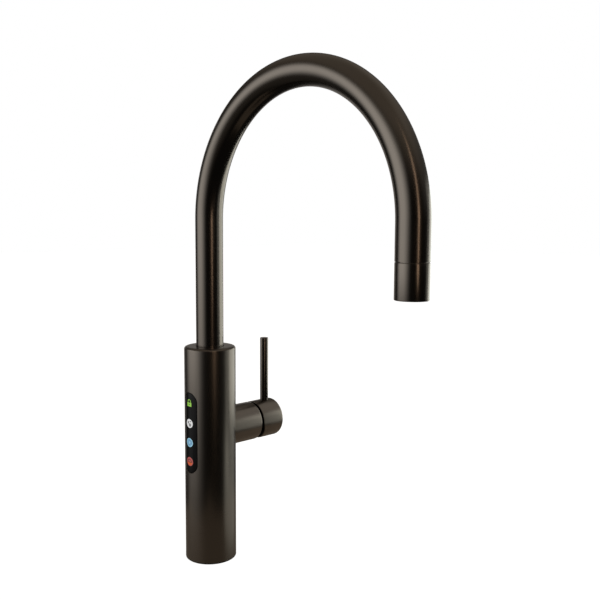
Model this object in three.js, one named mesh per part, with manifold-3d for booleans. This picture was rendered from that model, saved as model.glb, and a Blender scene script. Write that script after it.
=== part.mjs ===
// Boiling water tap: a slim round column with a touch panel on its left side, a
// single-lever mixer valve on its right side and a tall swivelling spout in front.
// Millimetres. +Z is up, the spout points to -Y, the mixer valve to +X and the
// touch panel to -X. The origin is the centre of the column's foot, on the worktop.

import * as THREE from 'three';
import { mergeVertices } from 'three/addons/utils/BufferGeometryUtils.js';
import Module from 'manifold-3d';

const wasm = await Module();
wasm.setup();

// ---------------------------------------------------------------------------
// Driving dimensions
// ---------------------------------------------------------------------------

const FIT = 0.3;                 // gap between pieces that touch or run on each other
const OVER = 1;                  // how far a cutter reaches past the face that it cuts

const BODY_R = 24;               // column
const BODY_H = 203;
const BODY_WALL = 2.5;
const BODY_ROOF = 3.5;
const BODY_EDGE = 2.4;           // rounding of the upper edge

const SPOUT_R = 12.75;           // spout tube
const SPOUT_WALL = 1.2;
const ARC_R = 119;               // centre line of the arch
const LEG_H = 117;               // straight rear leg above the column
const OUTLET_DROP = 55;          // nozzle's lower face below the start of the arch
const NOZZLE_H = 27;             // visible height of the nozzle collar
const JOINT_DEPTH = 6.5;         // how far one tube end reaches into the next

const VALVE_DROP = 80;           // axis of the mixer valve below the column's top
const VALVE_R = 18.5;
const BARREL_END = 50;           // free end of the barrel, from the column's axis
const BARREL_CHAMFER = 0.5;
const CAP_GAP = 1.6;             // gap between the barrel and the lever cap
const CAP_LENGTH = 25.5;
const CAP_EDGE = 2.4;
const CAP_SHELL = 3;
const CAP_SLANT = 13.5;          // degrees, lower half of the cap's inner face
const CAP_HUB = 14.1;            // depth of the solid end of the cap
const LEVER_R = 4;
const LEVER_INSET = 10.1;        // lever's axis from the cap's outer face
const LEVER_RISE = 81;           // lever's top above the valve's axis
const LEVER_EDGE = 0.6;
const LEVER_WEB = 0.6;           // between the lever's foot and the stem
const TILT_LIMIT = 15;           // degrees that the lever tilts outwards

const PANEL_WIDTH = 18.1;        // touch panel, an upright capsule
const PANEL_HEIGHT = 75.6;
const PANEL_DROP = 79.4;         // panel's middle below the column's top
const PANEL_SINK = 0.2;          // lens below the column's surface
const LENS_FLANGE = 1.5;
const LENS_RIM = 2.4;            // how far the flange reaches past the window
const GASKET_T = 0.5;
const KEY_R = 4.15;
const KEY_PITCH = 18.1;
const BOARD_T = 1.6;
const BOARD_WIDTH = 15;
const BOARD_MARGIN = 1;          // board's end inside the lens flange's end
const BOSS_R = 2.2;
const BOSS_H = 1.6;
const BOARD_SCREW_R = 0.7;
const BOARD_SCREW_HEAD_R = 1.9;
const BOARD_SCREW_HEAD_H = 1.2;
const BOARD_SCREW_LENGTH = 5.4;
const CONNECTOR_SIZE = [2.8, 7, 5];
const CONNECTOR_RISE = 20;       // above the lower board screw
const CABLE_BEND = 18;           // height over which the cable swings to the board

const PIPE_R = 4;                // feed pipes and the drinking water tube
const PIPE_WALL = 1;
const PIPE_PITCH = 6.6;          // half the spacing of the four feed pipes
const PIPE_TAIL_Z = -95;
const MIX_R = 3.8;               // pipe from the mixer to the spout
const MIX_X = 11.4;
const MIX_SINK = 1;              // its upper end below the floor of the swivel's chamber
const CABLE_R = 1.7;
const CABLE_X = -9.9;
const SOCKET_R = 2.7;
const SOCKET_L = 16;

const PLATE_Z = 1.5;             // underside of the base plate
const PLATE_T = 8;
const SEAL_MARGIN = 1.3;         // base seal clear of the shank
const SHANK_R = 16;
const SHANK_WALL = 2.2;
const SHANK_END = -62;
const SHANK_GRIP = 3.8;          // thread engaged in the base plate
const DECK_T = 40;               // thickest worktop
const WASHER_R = 28;
const RUBBER_T = 2.5;
const STEEL_T = 1.5;
const NUT_FLAT = 44;             // across flats
const NUT_H = 8;

const BLOCK_H = 34;              // brass block that carries the cartridge
const BLOCK_BACK = -2;
const BLOCK_FACE = 17;
const PIPE_SEAT = 6;             // how far a pipe reaches into a brass piece
const CHANNEL_R = 2.8;
const PORT_R = 2.1;
const PORT_Y = 5.4;              // hot and cold ports beside the valve axis
const PORT_DROP = 3;             // hot and cold ports below the valve axis
const PORT_RISE = 5.6;           // outlet port above the valve axis

const CART_R = 12.5;             // ceramic cartridge
const CART_WALL = 1.9;
const CART_FLOOR = 2.5;
const CART_LID = 2.2;
const PORT_SEAL_T = 1;
const DISC_T = 2.2;
const MOVING_R = 7.5;
const CARRIER_T = 4.4;
const MIX_POCKET = 8;            // side of the pocket in the moving disc
const ROTOR_L = 10.3;
const PIVOT_IN = 5.6;            // pivot from the rotor's inner face
const PIVOT_R = 1.5;
const BALL_R = 1.9;
const STEM = 7;                  // side of the square stem
const STEM_NECK_R = 1.5;
const STEM_HUB_R = 3.2;
const STEM_EYE = 1.5;            // metal round the pivot pin's hole
const STEM_PLAY = 0.8;           // room beside the tilted stem
const STEM_GRIP = 8;             // stem engaged in the cap's solid end
const NUT_RING_L = 4.5;
const NUT_RING_BORE = 9.2;
const NUT_NOTCH = 3;
const GRUB_R = 2.5;
const GRUB_L = 9;
const HEX_KEY_R = 1.25;
const HEX_KEY_DEPTH = 2;

const SWIVEL_LIMIT = 90;         // degrees to each side
const SOCKET_FLOOR = 3;
const CHAMBER_H = 2;
const BUSH_T = 2.3;
const BUSH_H = 4;
const SPIGOT_BORE = 9;
const SWIVEL_PLAY = 0.85;        // spigot inside the bore that its seals run in
const WEAR_DEPTH = 1.4;          // groove of the wear ring
const WEAR_H = 3;
const GROOVE_WALL = 1.2;         // between neighbouring grooves of the spigot
const ORING_R = 1.2;
const STOP_R = 2;                // grub screw that holds the spout
const STOP_TIP_R = 1.6;
const STOP_DEPTH = 1.7;          // its groove in the spigot
const STOP_SINK = 0.8;
const TEE_H = 10;
const TEE_FRONT = 6.4;
const TEE_BACK = -11.2;
const TEE_HALF = 11.2;
const NECK_R = 6;
const NECK_H = 5.8;
const NECK_LIP = 1;              // above the groove of the inner tube's seal
const TUBE_SEAT_RISE = 2;        // foot of the inner tube above the tee
const TUBE_SEAL_H = 1.7;
const TEE_WAY = 4;               // width of the water way between the two pipes
const TUBE_SEAL_T = 1;

const FORMER_H = 14.5;           // stream former in the nozzle
const FORMER_WALL = 1.6;
const FORMER_DECK = 4;           // thickness of its pierced upper end
const SCREEN_T = 0.9;
const SCREEN_SINK = 0.9;
const NOZZLE_SEAL_T = 1.4;
const NOZZLE_LIP = 1.55;
const TIP_WALL = 1.4;
const STREAM_HOLE_R = 1.2;
const STREAM_HOLES = 10;
const SPACER_T = 3;
const SPACER_ARM = 3;
const SPACER_WALL = 2.2;         // round the inner tube

const BODY_SIDES = 48;           // facets round each kind of piece
const VALVE_SIDES = 36;
const SPOUT_SIDES = 24;
const ARC_STEPS = 24;
const INNER_ARC_STEPS = 16;
const SMALL_SIDES = 20;
const FINE_SIDES = 10;
const SECTION_SIDES = 6;
const EDGE_STEPS = 3;
const SECTOR_STEPS = 14;
const CABLE_STEPS = 18;

// ---------------------------------------------------------------------------
// Places that follow from the driving dimensions
// ---------------------------------------------------------------------------

const VALVE_Z = BODY_H - VALVE_DROP;
const PANEL_Z = BODY_H - PANEL_DROP;
const ARC_Z = BODY_H + LEG_H;
const OUTLET_Z = ARC_Z - OUTLET_DROP;

const BORE_R = BODY_R - BODY_WALL;
const INNER_R = BORE_R - FIT;                    // pieces that slide into the column
const SPOUT_BORE = SPOUT_R - SPOUT_WALL;
const LINER_R = SPOUT_BORE - FIT;                // tube ends and spacers in the spout

const CAP_FACE = BARREL_END + CAP_GAP;
const CAP_END = CAP_FACE + CAP_LENGTH;
const LEVER_X = CAP_END - LEVER_INSET;

const SOCKET_TOP = BODY_H - BODY_ROOF - FIT;
const BUSH_Z = SOCKET_TOP - BUSH_H;
const BUSH_BORE = SPOUT_R + FIT;
const BUSH_R = BUSH_BORE + BUSH_T;
const TUBE_END_Z = BUSH_Z;                       // lower end of the spout tube
const STOP_Z = TUBE_END_Z - FIT - GROOVE_WALL / 2 - STOP_TIP_R - FIT;
const SEAL_BORE = SPOUT_R + SWIVEL_PLAY;
const RING_INNER = SEAL_BORE - FIT - 2 * ORING_R;
const RING_GROOVE = 2 * (ORING_R + FIT);
const UPPER_RING_Z = STOP_Z - STOP_TIP_R - FIT - GROOVE_WALL - RING_GROOVE;
const LOWER_RING_Z = UPPER_RING_Z - GROOVE_WALL - RING_GROOVE;
const WEAR_Z = LOWER_RING_Z - GROOVE_WALL - WEAR_H;
const SPIGOT_Z = WEAR_Z - GROOVE_WALL;
const CAVITY_Z = SPIGOT_Z - CHAMBER_H;
const SOCKET_Z = CAVITY_Z - SOCKET_FLOOR;
const TEE_TOP = SOCKET_Z - FIT;
const TEE_Z = TEE_TOP - TEE_H;
const NECK_TOP = TEE_TOP + NECK_H;
const TUBE_SEAT_Z = TEE_TOP + TUBE_SEAT_RISE;

const BLOCK_Z = VALVE_Z - BLOCK_H / 2;
const BLOCK_TOP = VALVE_Z + BLOCK_H / 2;

const CART_BORE = CART_R - CART_WALL;
const RUNNING_R = CART_BORE - FIT;
const PORT_SEAL_X = BLOCK_FACE + FIT;
const CART_X = PORT_SEAL_X + PORT_SEAL_T + FIT;
const FIXED_X = CART_X + CART_FLOOR + FIT;
const MOVING_X = FIXED_X + DISC_T + FIT;
const CARRIER_X = MOVING_X + DISC_T + FIT;
const ROTOR_X = CARRIER_X + CARRIER_T + FIT;
const ROTOR_END = ROTOR_X + ROTOR_L;
const PIVOT_X = ROTOR_X + PIVOT_IN;
const BALL_X = CARRIER_X + CARRIER_T / 2;
const LID_X = ROTOR_END + FIT;
const CART_END = LID_X + CART_LID;
const NUT_RING_X = CART_END + FIT;
const NUT_RING_R = VALVE_R - CAP_SHELL - FIT;

const FLANGE_R = BORE_R - FIT - GASKET_T - FIT;
const LENS_R = BODY_R - PANEL_SINK;
const LENS_BACK = FLANGE_R - LENS_FLANGE;
const BOARD_X = -(LENS_BACK - BOSS_H) + FIT;     // face of the board against the bosses
const BOARD_BACK = BOARD_X + BOARD_T;
const FLANGE_WIDTH = PANEL_WIDTH + 2 * (FIT + LENS_RIM);
const FLANGE_HEIGHT = PANEL_HEIGHT + 2 * (FIT + LENS_RIM);
const BOARD_HALF = FLANGE_HEIGHT / 2 - BOARD_MARGIN;
const BOSS_Z = BOARD_HALF - BOSS_R - BOARD_MARGIN;
const KEY_NAMES = ['lock', 'sparkling', 'chilled', 'boiling'];

const SEAM_Z = OUTLET_Z + NOZZLE_H;
const FORMER_Z = OUTLET_Z + SCREEN_SINK + SCREEN_T + FIT;
const FORMER_TOP = FORMER_Z + FORMER_H;
const NOZZLE_STEP = FORMER_TOP + FIT + NOZZLE_SEAL_T + FIT;
const NOZZLE_BORE = SPOUT_R - NOZZLE_LIP;
const FORMER_R = NOZZLE_BORE - FIT;
const INNER_END = FORMER_TOP - PIPE_R;

const PLATE_TOP = PLATE_Z + PLATE_T;
const WASHER_Z = -DECK_T - FIT;
const STEEL_Z = WASHER_Z - RUBBER_T - FIT;
const NUT_Z = STEEL_Z - STEEL_T - FIT;

const radians = THREE.MathUtils.degToRad;

// ---------------------------------------------------------------------------
// Finishes
// ---------------------------------------------------------------------------

const finish = (color, roughness, metalness) =>
  new THREE.MeshStandardMaterial({ color, roughness, metalness });

const gunmetal = finish(0x4a423a, 0.38, 0.9);
const brass = finish(0xb59a56, 0.4, 1);
const steel = finish(0xb8babc, 0.35, 1);
const blackGloss = finish(0x141416, 0.12, 0);
const rubber = finish(0x1c1c1c, 0.85, 0);
const whitePlastic = finish(0xe4e2dc, 0.5, 0);
const greyPlastic = finish(0x6d7074, 0.55, 0);
const ceramic = finish(0xf1eee4, 0.3, 0);
const boardGreen = finish(0x1f5a3a, 0.6, 0);
const copper = finish(0xb87348, 0.35, 1);
const silicone = finish(0xd8d6cf, 0.6, 0);
const keyColours = [0x7fb63f, 0xdadada, 0x86b4c8, 0xc0502c];

// ---------------------------------------------------------------------------
// Geometry helpers
// ---------------------------------------------------------------------------

/** A closed geometry as a solid whose faces point outwards. */
function solid(geometry) {
  const bare = new THREE.BufferGeometry();
  bare.setAttribute('position', geometry.attributes.position.clone());
  bare.setIndex(geometry.index);
  const merged = mergeVertices(bare, 1e-4);
  const vertProperties = new Float32Array(merged.attributes.position.array);
  const triVerts = [];
  let volume = 0;
  const corners = [new THREE.Vector3(), new THREE.Vector3(), new THREE.Vector3()];
  for (let i = 0; i < merged.index.count; i += 3) {
    const face = [0, 1, 2].map((k) => merged.index.getX(i + k));
    if (new Set(face).size < 3) continue;
    face.forEach((vertex, k) => corners[k].fromArray(vertProperties, 3 * vertex));
    volume += corners[0].dot(corners[1].cross(corners[2]));
    triVerts.push(...face);
  }
  if (volume < 0) triVerts.reverse();
  const mesh = new wasm.Mesh({ numProp: 3, vertProperties, triVerts: new Uint32Array(triVerts) });
  return new wasm.Manifold(mesh);
}

/** A solid back as a geometry. */
function geometryOf(manifold) {
  const { vertProperties, triVerts } = manifold.getMesh();
  const geometry = new THREE.BufferGeometry();
  geometry.setAttribute('position', new THREE.BufferAttribute(vertProperties, 3));
  geometry.setIndex(new THREE.BufferAttribute(triVerts, 1));
  geometry.computeVertexNormals();
  return geometry;
}

const combine = (operation) => (base, ...others) => {
  let result = solid(base);
  for (const other of others.flat()) result = result[operation](solid(other));
  return geometryOf(result);
};
const join = combine('add');
const cut = combine('subtract');
const common = combine('intersect');

/** Outline points of a circle, for extrusions. */
function circle(radius, sides) {
  return Array.from({ length: sides }, (_, i) => {
    const angle = (2 * Math.PI * i) / sides;
    return new THREE.Vector2(radius * Math.cos(angle), radius * Math.sin(angle));
  });
}

/** An upright or flat rod between two heights. */
function rod(radius, low, high, sides = SMALL_SIDES, x = 0, y = 0) {
  const geometry = new THREE.CylinderGeometry(radius, radius, high - low, sides);
  return geometry.rotateX(Math.PI / 2).translate(x, y, (low + high) / 2);
}

/** A closed outline of [radius, height] points turned about the upright axis. */
function revolve(outline, sides = SMALL_SIDES) {
  const points = outline.map(([radius, height]) => new THREE.Vector2(radius, height));
  const onAxis = points[0].x === 0 && points.at(-1).x === 0;
  if (!onAxis) points.push(points[0].clone());
  return new THREE.LatheGeometry(points, sides).rotateX(Math.PI / 2);
}

/** A plain washer or sleeve. */
function sleeve(inner, outer, low, high, sides = SMALL_SIDES) {
  return revolve([[inner, low], [outer, low], [outer, high], [inner, high]], sides);
}

/** A box between two corners. */
function block(low, high) {
  const size = high.map((value, i) => value - low[i]);
  const centre = high.map((value, i) => (value + low[i]) / 2);
  return new THREE.BoxGeometry(...size).translate(...centre);
}

/** An outline in the horizontal plane, raised between two heights. */
function prism(outline, low, high) {
  const options = { depth: high - low, bevelEnabled: false };
  return new THREE.ExtrudeGeometry(new THREE.Shape(outline), options).translate(0, 0, low);
}

/** Turns a piece that was made along +Z, with its top side at +X, along +X with that side up. */
function lying(geometry) {
  const turn = new THREE.Quaternion(Math.SQRT1_2, 0, Math.SQRT1_2, 0);
  return geometry.applyQuaternion(turn);
}

/** Quarter round from the side of a rod to its end, as [radius, height] points. */
function roundEdge(radius, height, edge) {
  return Array.from({ length: EDGE_STEPS + 1 }, (_, i) => {
    const angle = (Math.PI / 2) * (i / EDGE_STEPS);
    return [radius - edge + edge * Math.cos(angle), height - edge + edge * Math.sin(angle)];
  });
}

/** A rubber ring of round section. */
function oRing(inner, section, z) {
  return new THREE.TorusGeometry(inner + section, section, SECTION_SIDES, SMALL_SIDES).translate(0, 0, z);
}

/** Upright capsule outline in the plane of the touch panel, as [y, z] points. */
function capsule(width, height) {
  const radius = width / 2;
  const straight = height / 2 - radius;
  const halfTurn = SMALL_SIDES / 2;
  const points = [];
  for (const side of [1, -1]) {
    for (let i = 0; i <= halfTurn; i += 1) {
      const angle = (Math.PI * i) / halfTurn;
      const y = side * radius * Math.cos(angle);
      points.push(new THREE.Vector2(y, side * (straight + radius * Math.sin(angle))));
    }
  }
  return points;
}

/** An outline of [y, z] points about the panel's middle, extruded along X. */
function panelPrism(outline, low, high) {
  const axes = new THREE.Matrix4().makeBasis(
    new THREE.Vector3(0, 1, 0), new THREE.Vector3(0, 0, 1), new THREE.Vector3(1, 0, 0));
  return prism(outline, low, high).applyMatrix4(axes).translate(0, 0, PANEL_Z);
}

/** Centre line of the spout: up the rear leg, over the arch and down to the nozzle. */
class HookPath extends THREE.Curve {
  constructor(start, end, arcSteps) {
    super();
    this.start = start;
    this.end = end;
    this.arcSteps = arcSteps;
  }

  get steps() {
    return this.arcSteps + 2;
  }

  angleAt(t) {
    return THREE.MathUtils.clamp((t * this.steps - 1) / this.arcSteps, 0, 1) * Math.PI;
  }

  getPointAt(t, target = new THREE.Vector3()) {
    const angle = this.angleAt(t);
    const step = t * this.steps;
    const y = -ARC_R * (1 - Math.cos(angle));
    let z = ARC_Z + ARC_R * Math.sin(angle);
    if (step < 1) z = THREE.MathUtils.lerp(this.start, ARC_Z, step);
    if (step > this.steps - 1) z = THREE.MathUtils.lerp(ARC_Z, this.end, step - this.steps + 1);
    return target.set(0, y, z);
  }

  getPoint(t, target) {
    return this.getPointAt(t, target);
  }

  getTangentAt(t, target = new THREE.Vector3()) {
    const angle = this.angleAt(t);
    return target.set(0, -Math.sin(angle), Math.cos(angle));
  }
}

/** A pipe that follows the spout's centre line. */
function hookTube(radius, wall, start, end, sides, arcSteps) {
  const path = new HookPath(start, end, arcSteps);
  const section = new THREE.Shape(circle(radius, sides));
  section.holes.push(new THREE.Path(circle(radius - wall, sides)));
  return new THREE.ExtrudeGeometry(section, { steps: path.steps, extrudePath: path });
}

// ---------------------------------------------------------------------------
// Scene graph
// ---------------------------------------------------------------------------

const tap = new THREE.Group();

/** Adds a named piece to a group. */
function piece(name, geometry, material, group = tap) {
  const mesh = new THREE.Mesh(geometryOf(solid(geometry)), material);
  mesh.name = name;
  group.add(mesh);
  return mesh;
}

// ---------------------------------------------------------------------------
// Column and foot
// ---------------------------------------------------------------------------

const pipePlaces = {
  hot: [PIPE_PITCH, PIPE_PITCH],
  cold: [PIPE_PITCH, -PIPE_PITCH],
  boiling: [-PIPE_PITCH, PIPE_PITCH],
  filtered: [-PIPE_PITCH, -PIPE_PITCH],
};

function addColumn() {
  const outline = [
    [BORE_R, 0], [BODY_R, 0],
    ...roundEdge(BODY_R, BODY_H, BODY_EDGE),
    [SPOUT_R + FIT, BODY_H], [SPOUT_R + FIT, BODY_H - BODY_ROOF], [BORE_R, BODY_H - BODY_ROOF],
  ];
  const window = panelPrism(capsule(PANEL_WIDTH + 2 * FIT, PANEL_HEIGHT + 2 * FIT), -2 * BODY_R, 0);
  const valveHole = lying(rod(VALVE_R - CAP_SHELL, 0, 2 * BODY_R, VALVE_SIDES));
  valveHole.translate(0, 0, VALVE_Z);
  const stopHole = rod(STOP_R + FIT, 0, 2 * BODY_R, FINE_SIDES).rotateX(-Math.PI / 2);
  stopHole.translate(0, 0, STOP_Z);
  piece('body_shell', cut(revolve(outline, BODY_SIDES), window, valveHole, stopHole), gunmetal);
}

function addFoot() {
  const pipeHoles = Object.values(pipePlaces).map(
    ([x, y]) => rod(PIPE_R + FIT, PLATE_Z - OVER, PLATE_TOP + OVER, SMALL_SIDES, x, y));
  const cableHole = rod(CABLE_R + FIT, PLATE_Z - OVER, PLATE_TOP + OVER, FINE_SIDES, CABLE_X, 0);
  const shankSeat = rod(SHANK_R + FIT, PLATE_Z - OVER, PLATE_Z + SHANK_GRIP + FIT, SMALL_SIDES);
  const plate = rod(INNER_R, PLATE_Z, PLATE_TOP, BODY_SIDES);
  piece('base_plate', cut(plate, shankSeat, pipeHoles, cableHole), brass);

  piece('base_seal', sleeve(SHANK_R + SEAL_MARGIN, INNER_R, 0, PLATE_Z - FIT), rubber);

  const shankBore = SHANK_R - SHANK_WALL;
  const shankTop = PLATE_Z + SHANK_GRIP;
  piece('mounting_shank', sleeve(shankBore, SHANK_R, SHANK_END, shankTop), brass);
  piece('deck_washer_rubber',
    sleeve(SHANK_R + FIT, WASHER_R, WASHER_Z - RUBBER_T, WASHER_Z), rubber);
  piece('deck_washer_steel',
    sleeve(SHANK_R + FIT, WASHER_R, STEEL_Z - STEEL_T, STEEL_Z), steel);

  const corner = NUT_FLAT / Math.sqrt(3);
  const nut = prism(circle(corner, 6), NUT_Z - NUT_H, NUT_Z);
  const nutBore = rod(SHANK_R + FIT, NUT_Z - NUT_H - OVER, NUT_Z + OVER, SMALL_SIDES);
  piece('lock_nut', cut(nut, nutBore), brass);
}

// ---------------------------------------------------------------------------
// Water ways inside the column
// ---------------------------------------------------------------------------

function addFeedPipes() {
  const tops = {
    hot: BLOCK_Z + PIPE_SEAT, cold: BLOCK_Z + PIPE_SEAT,
    boiling: TEE_Z + PIPE_SEAT, filtered: TEE_Z + PIPE_SEAT,
  };
  const metals = { hot: copper, cold: copper, boiling: steel, filtered: steel };
  for (const [name, [x, y]] of Object.entries(pipePlaces)) {
    const pipe = sleeve(PIPE_R - PIPE_WALL, PIPE_R, PIPE_TAIL_Z, tops[name] - FIT, FINE_SIDES);
    piece(`${name}_feed_pipe`, pipe, metals[name]).position.set(x, y, 0);
  }
  const mixLow = BLOCK_TOP - PIPE_SEAT + FIT;
  const mixed = sleeve(MIX_R - PIPE_WALL, MIX_R, mixLow, CAVITY_Z - MIX_SINK, FINE_SIDES);
  piece('mixed_water_pipe', mixed, copper).position.set(MIX_X, 0, 0);
}

function addManifoldBlock() {
  const reach = 2 * BODY_R;
  const round = rod(INNER_R, BLOCK_Z, BLOCK_TOP, BODY_SIDES);
  const slab = block([BLOCK_BACK, -reach, BLOCK_Z - OVER], [BLOCK_FACE, reach, BLOCK_TOP + OVER]);
  const drills = [];
  for (const name of ['hot', 'cold']) {
    const [x, y] = pipePlaces[name];
    const portY = Math.sign(y) * PORT_Y;
    const portZ = VALVE_Z - PORT_DROP;
    drills.push(rod(PIPE_R + FIT, BLOCK_Z - OVER, BLOCK_Z + PIPE_SEAT, SMALL_SIDES, x, y));
    drills.push(rod(CHANNEL_R, BLOCK_Z, portZ, FINE_SIDES, x, y));
    drills.push(lying(rod(PORT_R, x, reach, FINE_SIDES)).translate(0, portY, portZ));
  }
  const outletZ = VALVE_Z + PORT_RISE;
  drills.push(lying(rod(PORT_R, MIX_X, reach, FINE_SIDES)).translate(0, 0, outletZ));
  drills.push(rod(CHANNEL_R, outletZ, BLOCK_TOP, FINE_SIDES, MIX_X, 0));
  drills.push(rod(MIX_R + FIT, BLOCK_TOP - PIPE_SEAT, BLOCK_TOP + OVER, SMALL_SIDES, MIX_X, 0));
  piece('manifold_block', cut(common(round, slab), drills), brass);
}

function addTee() {
  const base = block([TEE_BACK, -TEE_HALF, TEE_Z], [TEE_FRONT, TEE_HALF, TEE_TOP]);
  const neck = rod(NECK_R, TEE_Z + OVER, NECK_TOP);
  const way = TEE_WAY / 2;
  const chamber = block([-PIPE_PITCH - way, -PIPE_PITCH - way, TEE_Z + PIPE_SEAT - OVER],
    [way, PIPE_PITCH + way, TEE_Z + PIPE_SEAT + way]);
  const drills = ['boiling', 'filtered'].map((name) => {
    const [x, y] = pipePlaces[name];
    return rod(PIPE_R + FIT, TEE_Z - OVER, TEE_Z + PIPE_SEAT, SMALL_SIDES, x, y);
  });
  const riser = rod(PIPE_R - PIPE_WALL, TEE_Z + PIPE_SEAT, NECK_TOP + OVER, FINE_SIDES);
  const seat = rod(PIPE_R + FIT, TUBE_SEAT_Z, NECK_TOP + OVER);
  const sealTop = NECK_TOP - NECK_LIP - FIT;
  const sealLow = sealTop - TUBE_SEAL_H;
  const groove = rod(PIPE_R + 2 * FIT + TUBE_SEAL_T, sealLow - FIT, sealTop + FIT);
  piece('drinking_water_tee', cut(join(base, neck), chamber, drills, riser, seat, groove), brass);
  piece('inner_tube_seal',
    sleeve(PIPE_R + FIT, PIPE_R + FIT + TUBE_SEAL_T, sealLow, sealTop), rubber);
}

// ---------------------------------------------------------------------------
// Swivel: the fixed socket in the column and the spigot of the spout
// ---------------------------------------------------------------------------

function addSwivelSocket() {
  const outline = [
    [NECK_R + FIT, SOCKET_Z], [INNER_R, SOCKET_Z], [INNER_R, SOCKET_TOP],
    [BUSH_R + FIT, SOCKET_TOP], [BUSH_R + FIT, BUSH_Z - FIT], [SEAL_BORE, BUSH_Z - FIT],
    [SEAL_BORE, CAVITY_Z], [NECK_R + FIT, CAVITY_Z],
  ];
  const mixHole = rod(MIX_R + FIT, SOCKET_Z - OVER, CAVITY_Z + OVER, SMALL_SIDES, MIX_X, 0);
  const stopHole = rod(STOP_R + FIT, 0, 2 * BODY_R, FINE_SIDES).rotateX(-Math.PI / 2);
  stopHole.translate(0, 0, STOP_Z);
  piece('swivel_socket', cut(revolve(outline, BODY_SIDES), mixHole, stopHole), brass);
  piece('upper_bush', sleeve(BUSH_BORE, BUSH_R, BUSH_Z, SOCKET_TOP, VALVE_SIDES), whitePlastic);

  const tip = SPOUT_R - STOP_DEPTH + FIT;
  const shoulder = SEAL_BORE + FIT;
  const head = BODY_R - STOP_SINK;
  const screw = revolve([
    [0, tip], [STOP_TIP_R, tip], [STOP_TIP_R, shoulder], [STOP_R, shoulder],
    [STOP_R, head], [HEX_KEY_R, head], [HEX_KEY_R, head - HEX_KEY_DEPTH],
    [0, head - HEX_KEY_DEPTH],
  ], FINE_SIDES);
  piece('spout_grub_screw', screw.rotateX(-Math.PI / 2), steel).position.set(0, 0, STOP_Z);
}

/** A sector of a ring about the upright axis, centred on +Y. */
function ringSector(inner, outer, halfAngle, low, high) {
  const arc = (radius, from, to) => Array.from({ length: SECTOR_STEPS + 1 }, (_, i) => {
    const angle = Math.PI / 2 + THREE.MathUtils.lerp(from, to, i / SECTOR_STEPS);
    return new THREE.Vector2(radius * Math.cos(angle), radius * Math.sin(angle));
  });
  const outline = [...arc(outer, -halfAngle, halfAngle), ...arc(inner, halfAngle, -halfAngle)];
  return prism(outline, low, high);
}

function addSpigot(spout) {
  const wearFloor = SPOUT_R - WEAR_DEPTH;
  const ringFloor = RING_INNER - FIT;
  const groove = (floor, low, high) => sleeve(floor, 2 * SPOUT_R, low, high, SPOUT_SIDES);
  const stopHalf = radians(SWIVEL_LIMIT) + Math.asin((STOP_TIP_R + FIT) / SPOUT_R);
  const stopGroove = ringSector(SPOUT_R - STOP_DEPTH, 2 * SPOUT_R, stopHalf,
    STOP_Z - STOP_TIP_R - FIT, STOP_Z + STOP_TIP_R + FIT);
  const outline = [
    [SPIGOT_BORE, SPIGOT_Z], [SPOUT_R, SPIGOT_Z], [SPOUT_R, TUBE_END_Z - FIT],
    [LINER_R, TUBE_END_Z - FIT], [LINER_R, TUBE_END_Z + JOINT_DEPTH],
    [SPIGOT_BORE, TUBE_END_Z + JOINT_DEPTH],
  ];
  const grooves = [
    groove(wearFloor, WEAR_Z, WEAR_Z + WEAR_H),
    groove(ringFloor, LOWER_RING_Z, LOWER_RING_Z + RING_GROOVE),
    groove(ringFloor, UPPER_RING_Z, UPPER_RING_Z + RING_GROOVE),
  ];
  piece('spout_spigot', cut(revolve(outline, SPOUT_SIDES), grooves, stopGroove), brass, spout);

  const wearRing = sleeve(wearFloor + FIT, SEAL_BORE - FIT, WEAR_Z + FIT,
    WEAR_Z + WEAR_H - FIT, SPOUT_SIDES);
  piece('swivel_wear_ring', wearRing, whitePlastic, spout);
  for (const [name, low] of Object.entries({ lower: LOWER_RING_Z, upper: UPPER_RING_Z })) {
    const ring = oRing(RING_INNER, ORING_R, low + RING_GROOVE / 2);
    piece(`swivel_seal_${name}`, ring, rubber, spout);
  }
}

// ---------------------------------------------------------------------------
// Spout and nozzle
// ---------------------------------------------------------------------------

function addSpoutTubes(spout) {
  const tube = hookTube(SPOUT_R, SPOUT_WALL, TUBE_END_Z, SEAM_Z + FIT, SPOUT_SIDES, ARC_STEPS);
  piece('spout_tube', tube, gunmetal, spout);
  const inner = hookTube(PIPE_R, PIPE_WALL, TUBE_SEAT_Z + FIT, INNER_END, FINE_SIDES,
    INNER_ARC_STEPS);
  piece('inner_tube', inner, silicone, spout);
}

/** Three-armed clip that keeps the inner tube in the middle of the spout. */
function addSpacers(spout) {
  const bore = PIPE_R + FIT;
  const hub = sleeve(bore, bore + SPACER_WALL, -SPACER_T / 2, SPACER_T / 2, FINE_SIDES);
  const arms = [0, 1, 2].map((i) => {
    const arm = block([bore + SPACER_WALL / 2, -SPACER_ARM / 2, -SPACER_T / 2],
      [LINER_R - FIT, SPACER_ARM / 2, SPACER_T / 2]);
    return arm.rotateZ((2 * Math.PI * i) / 3);
  });
  const clip = join(hub, arms);
  const quarter = radians(90);
  const places = {
    rear: [0, (TUBE_END_Z + ARC_Z) / 2, 0],
    top: [-ARC_R, ARC_Z + ARC_R, quarter],
    front: [-2 * ARC_R, ARC_Z, 2 * quarter],
  };
  for (const [name, [y, z, turn]] of Object.entries(places)) {
    const mesh = piece(`tube_spacer_${name}`, clip, whitePlastic, spout);
    mesh.position.set(0, y, z);
    mesh.rotation.x = turn;
  }
}

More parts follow.
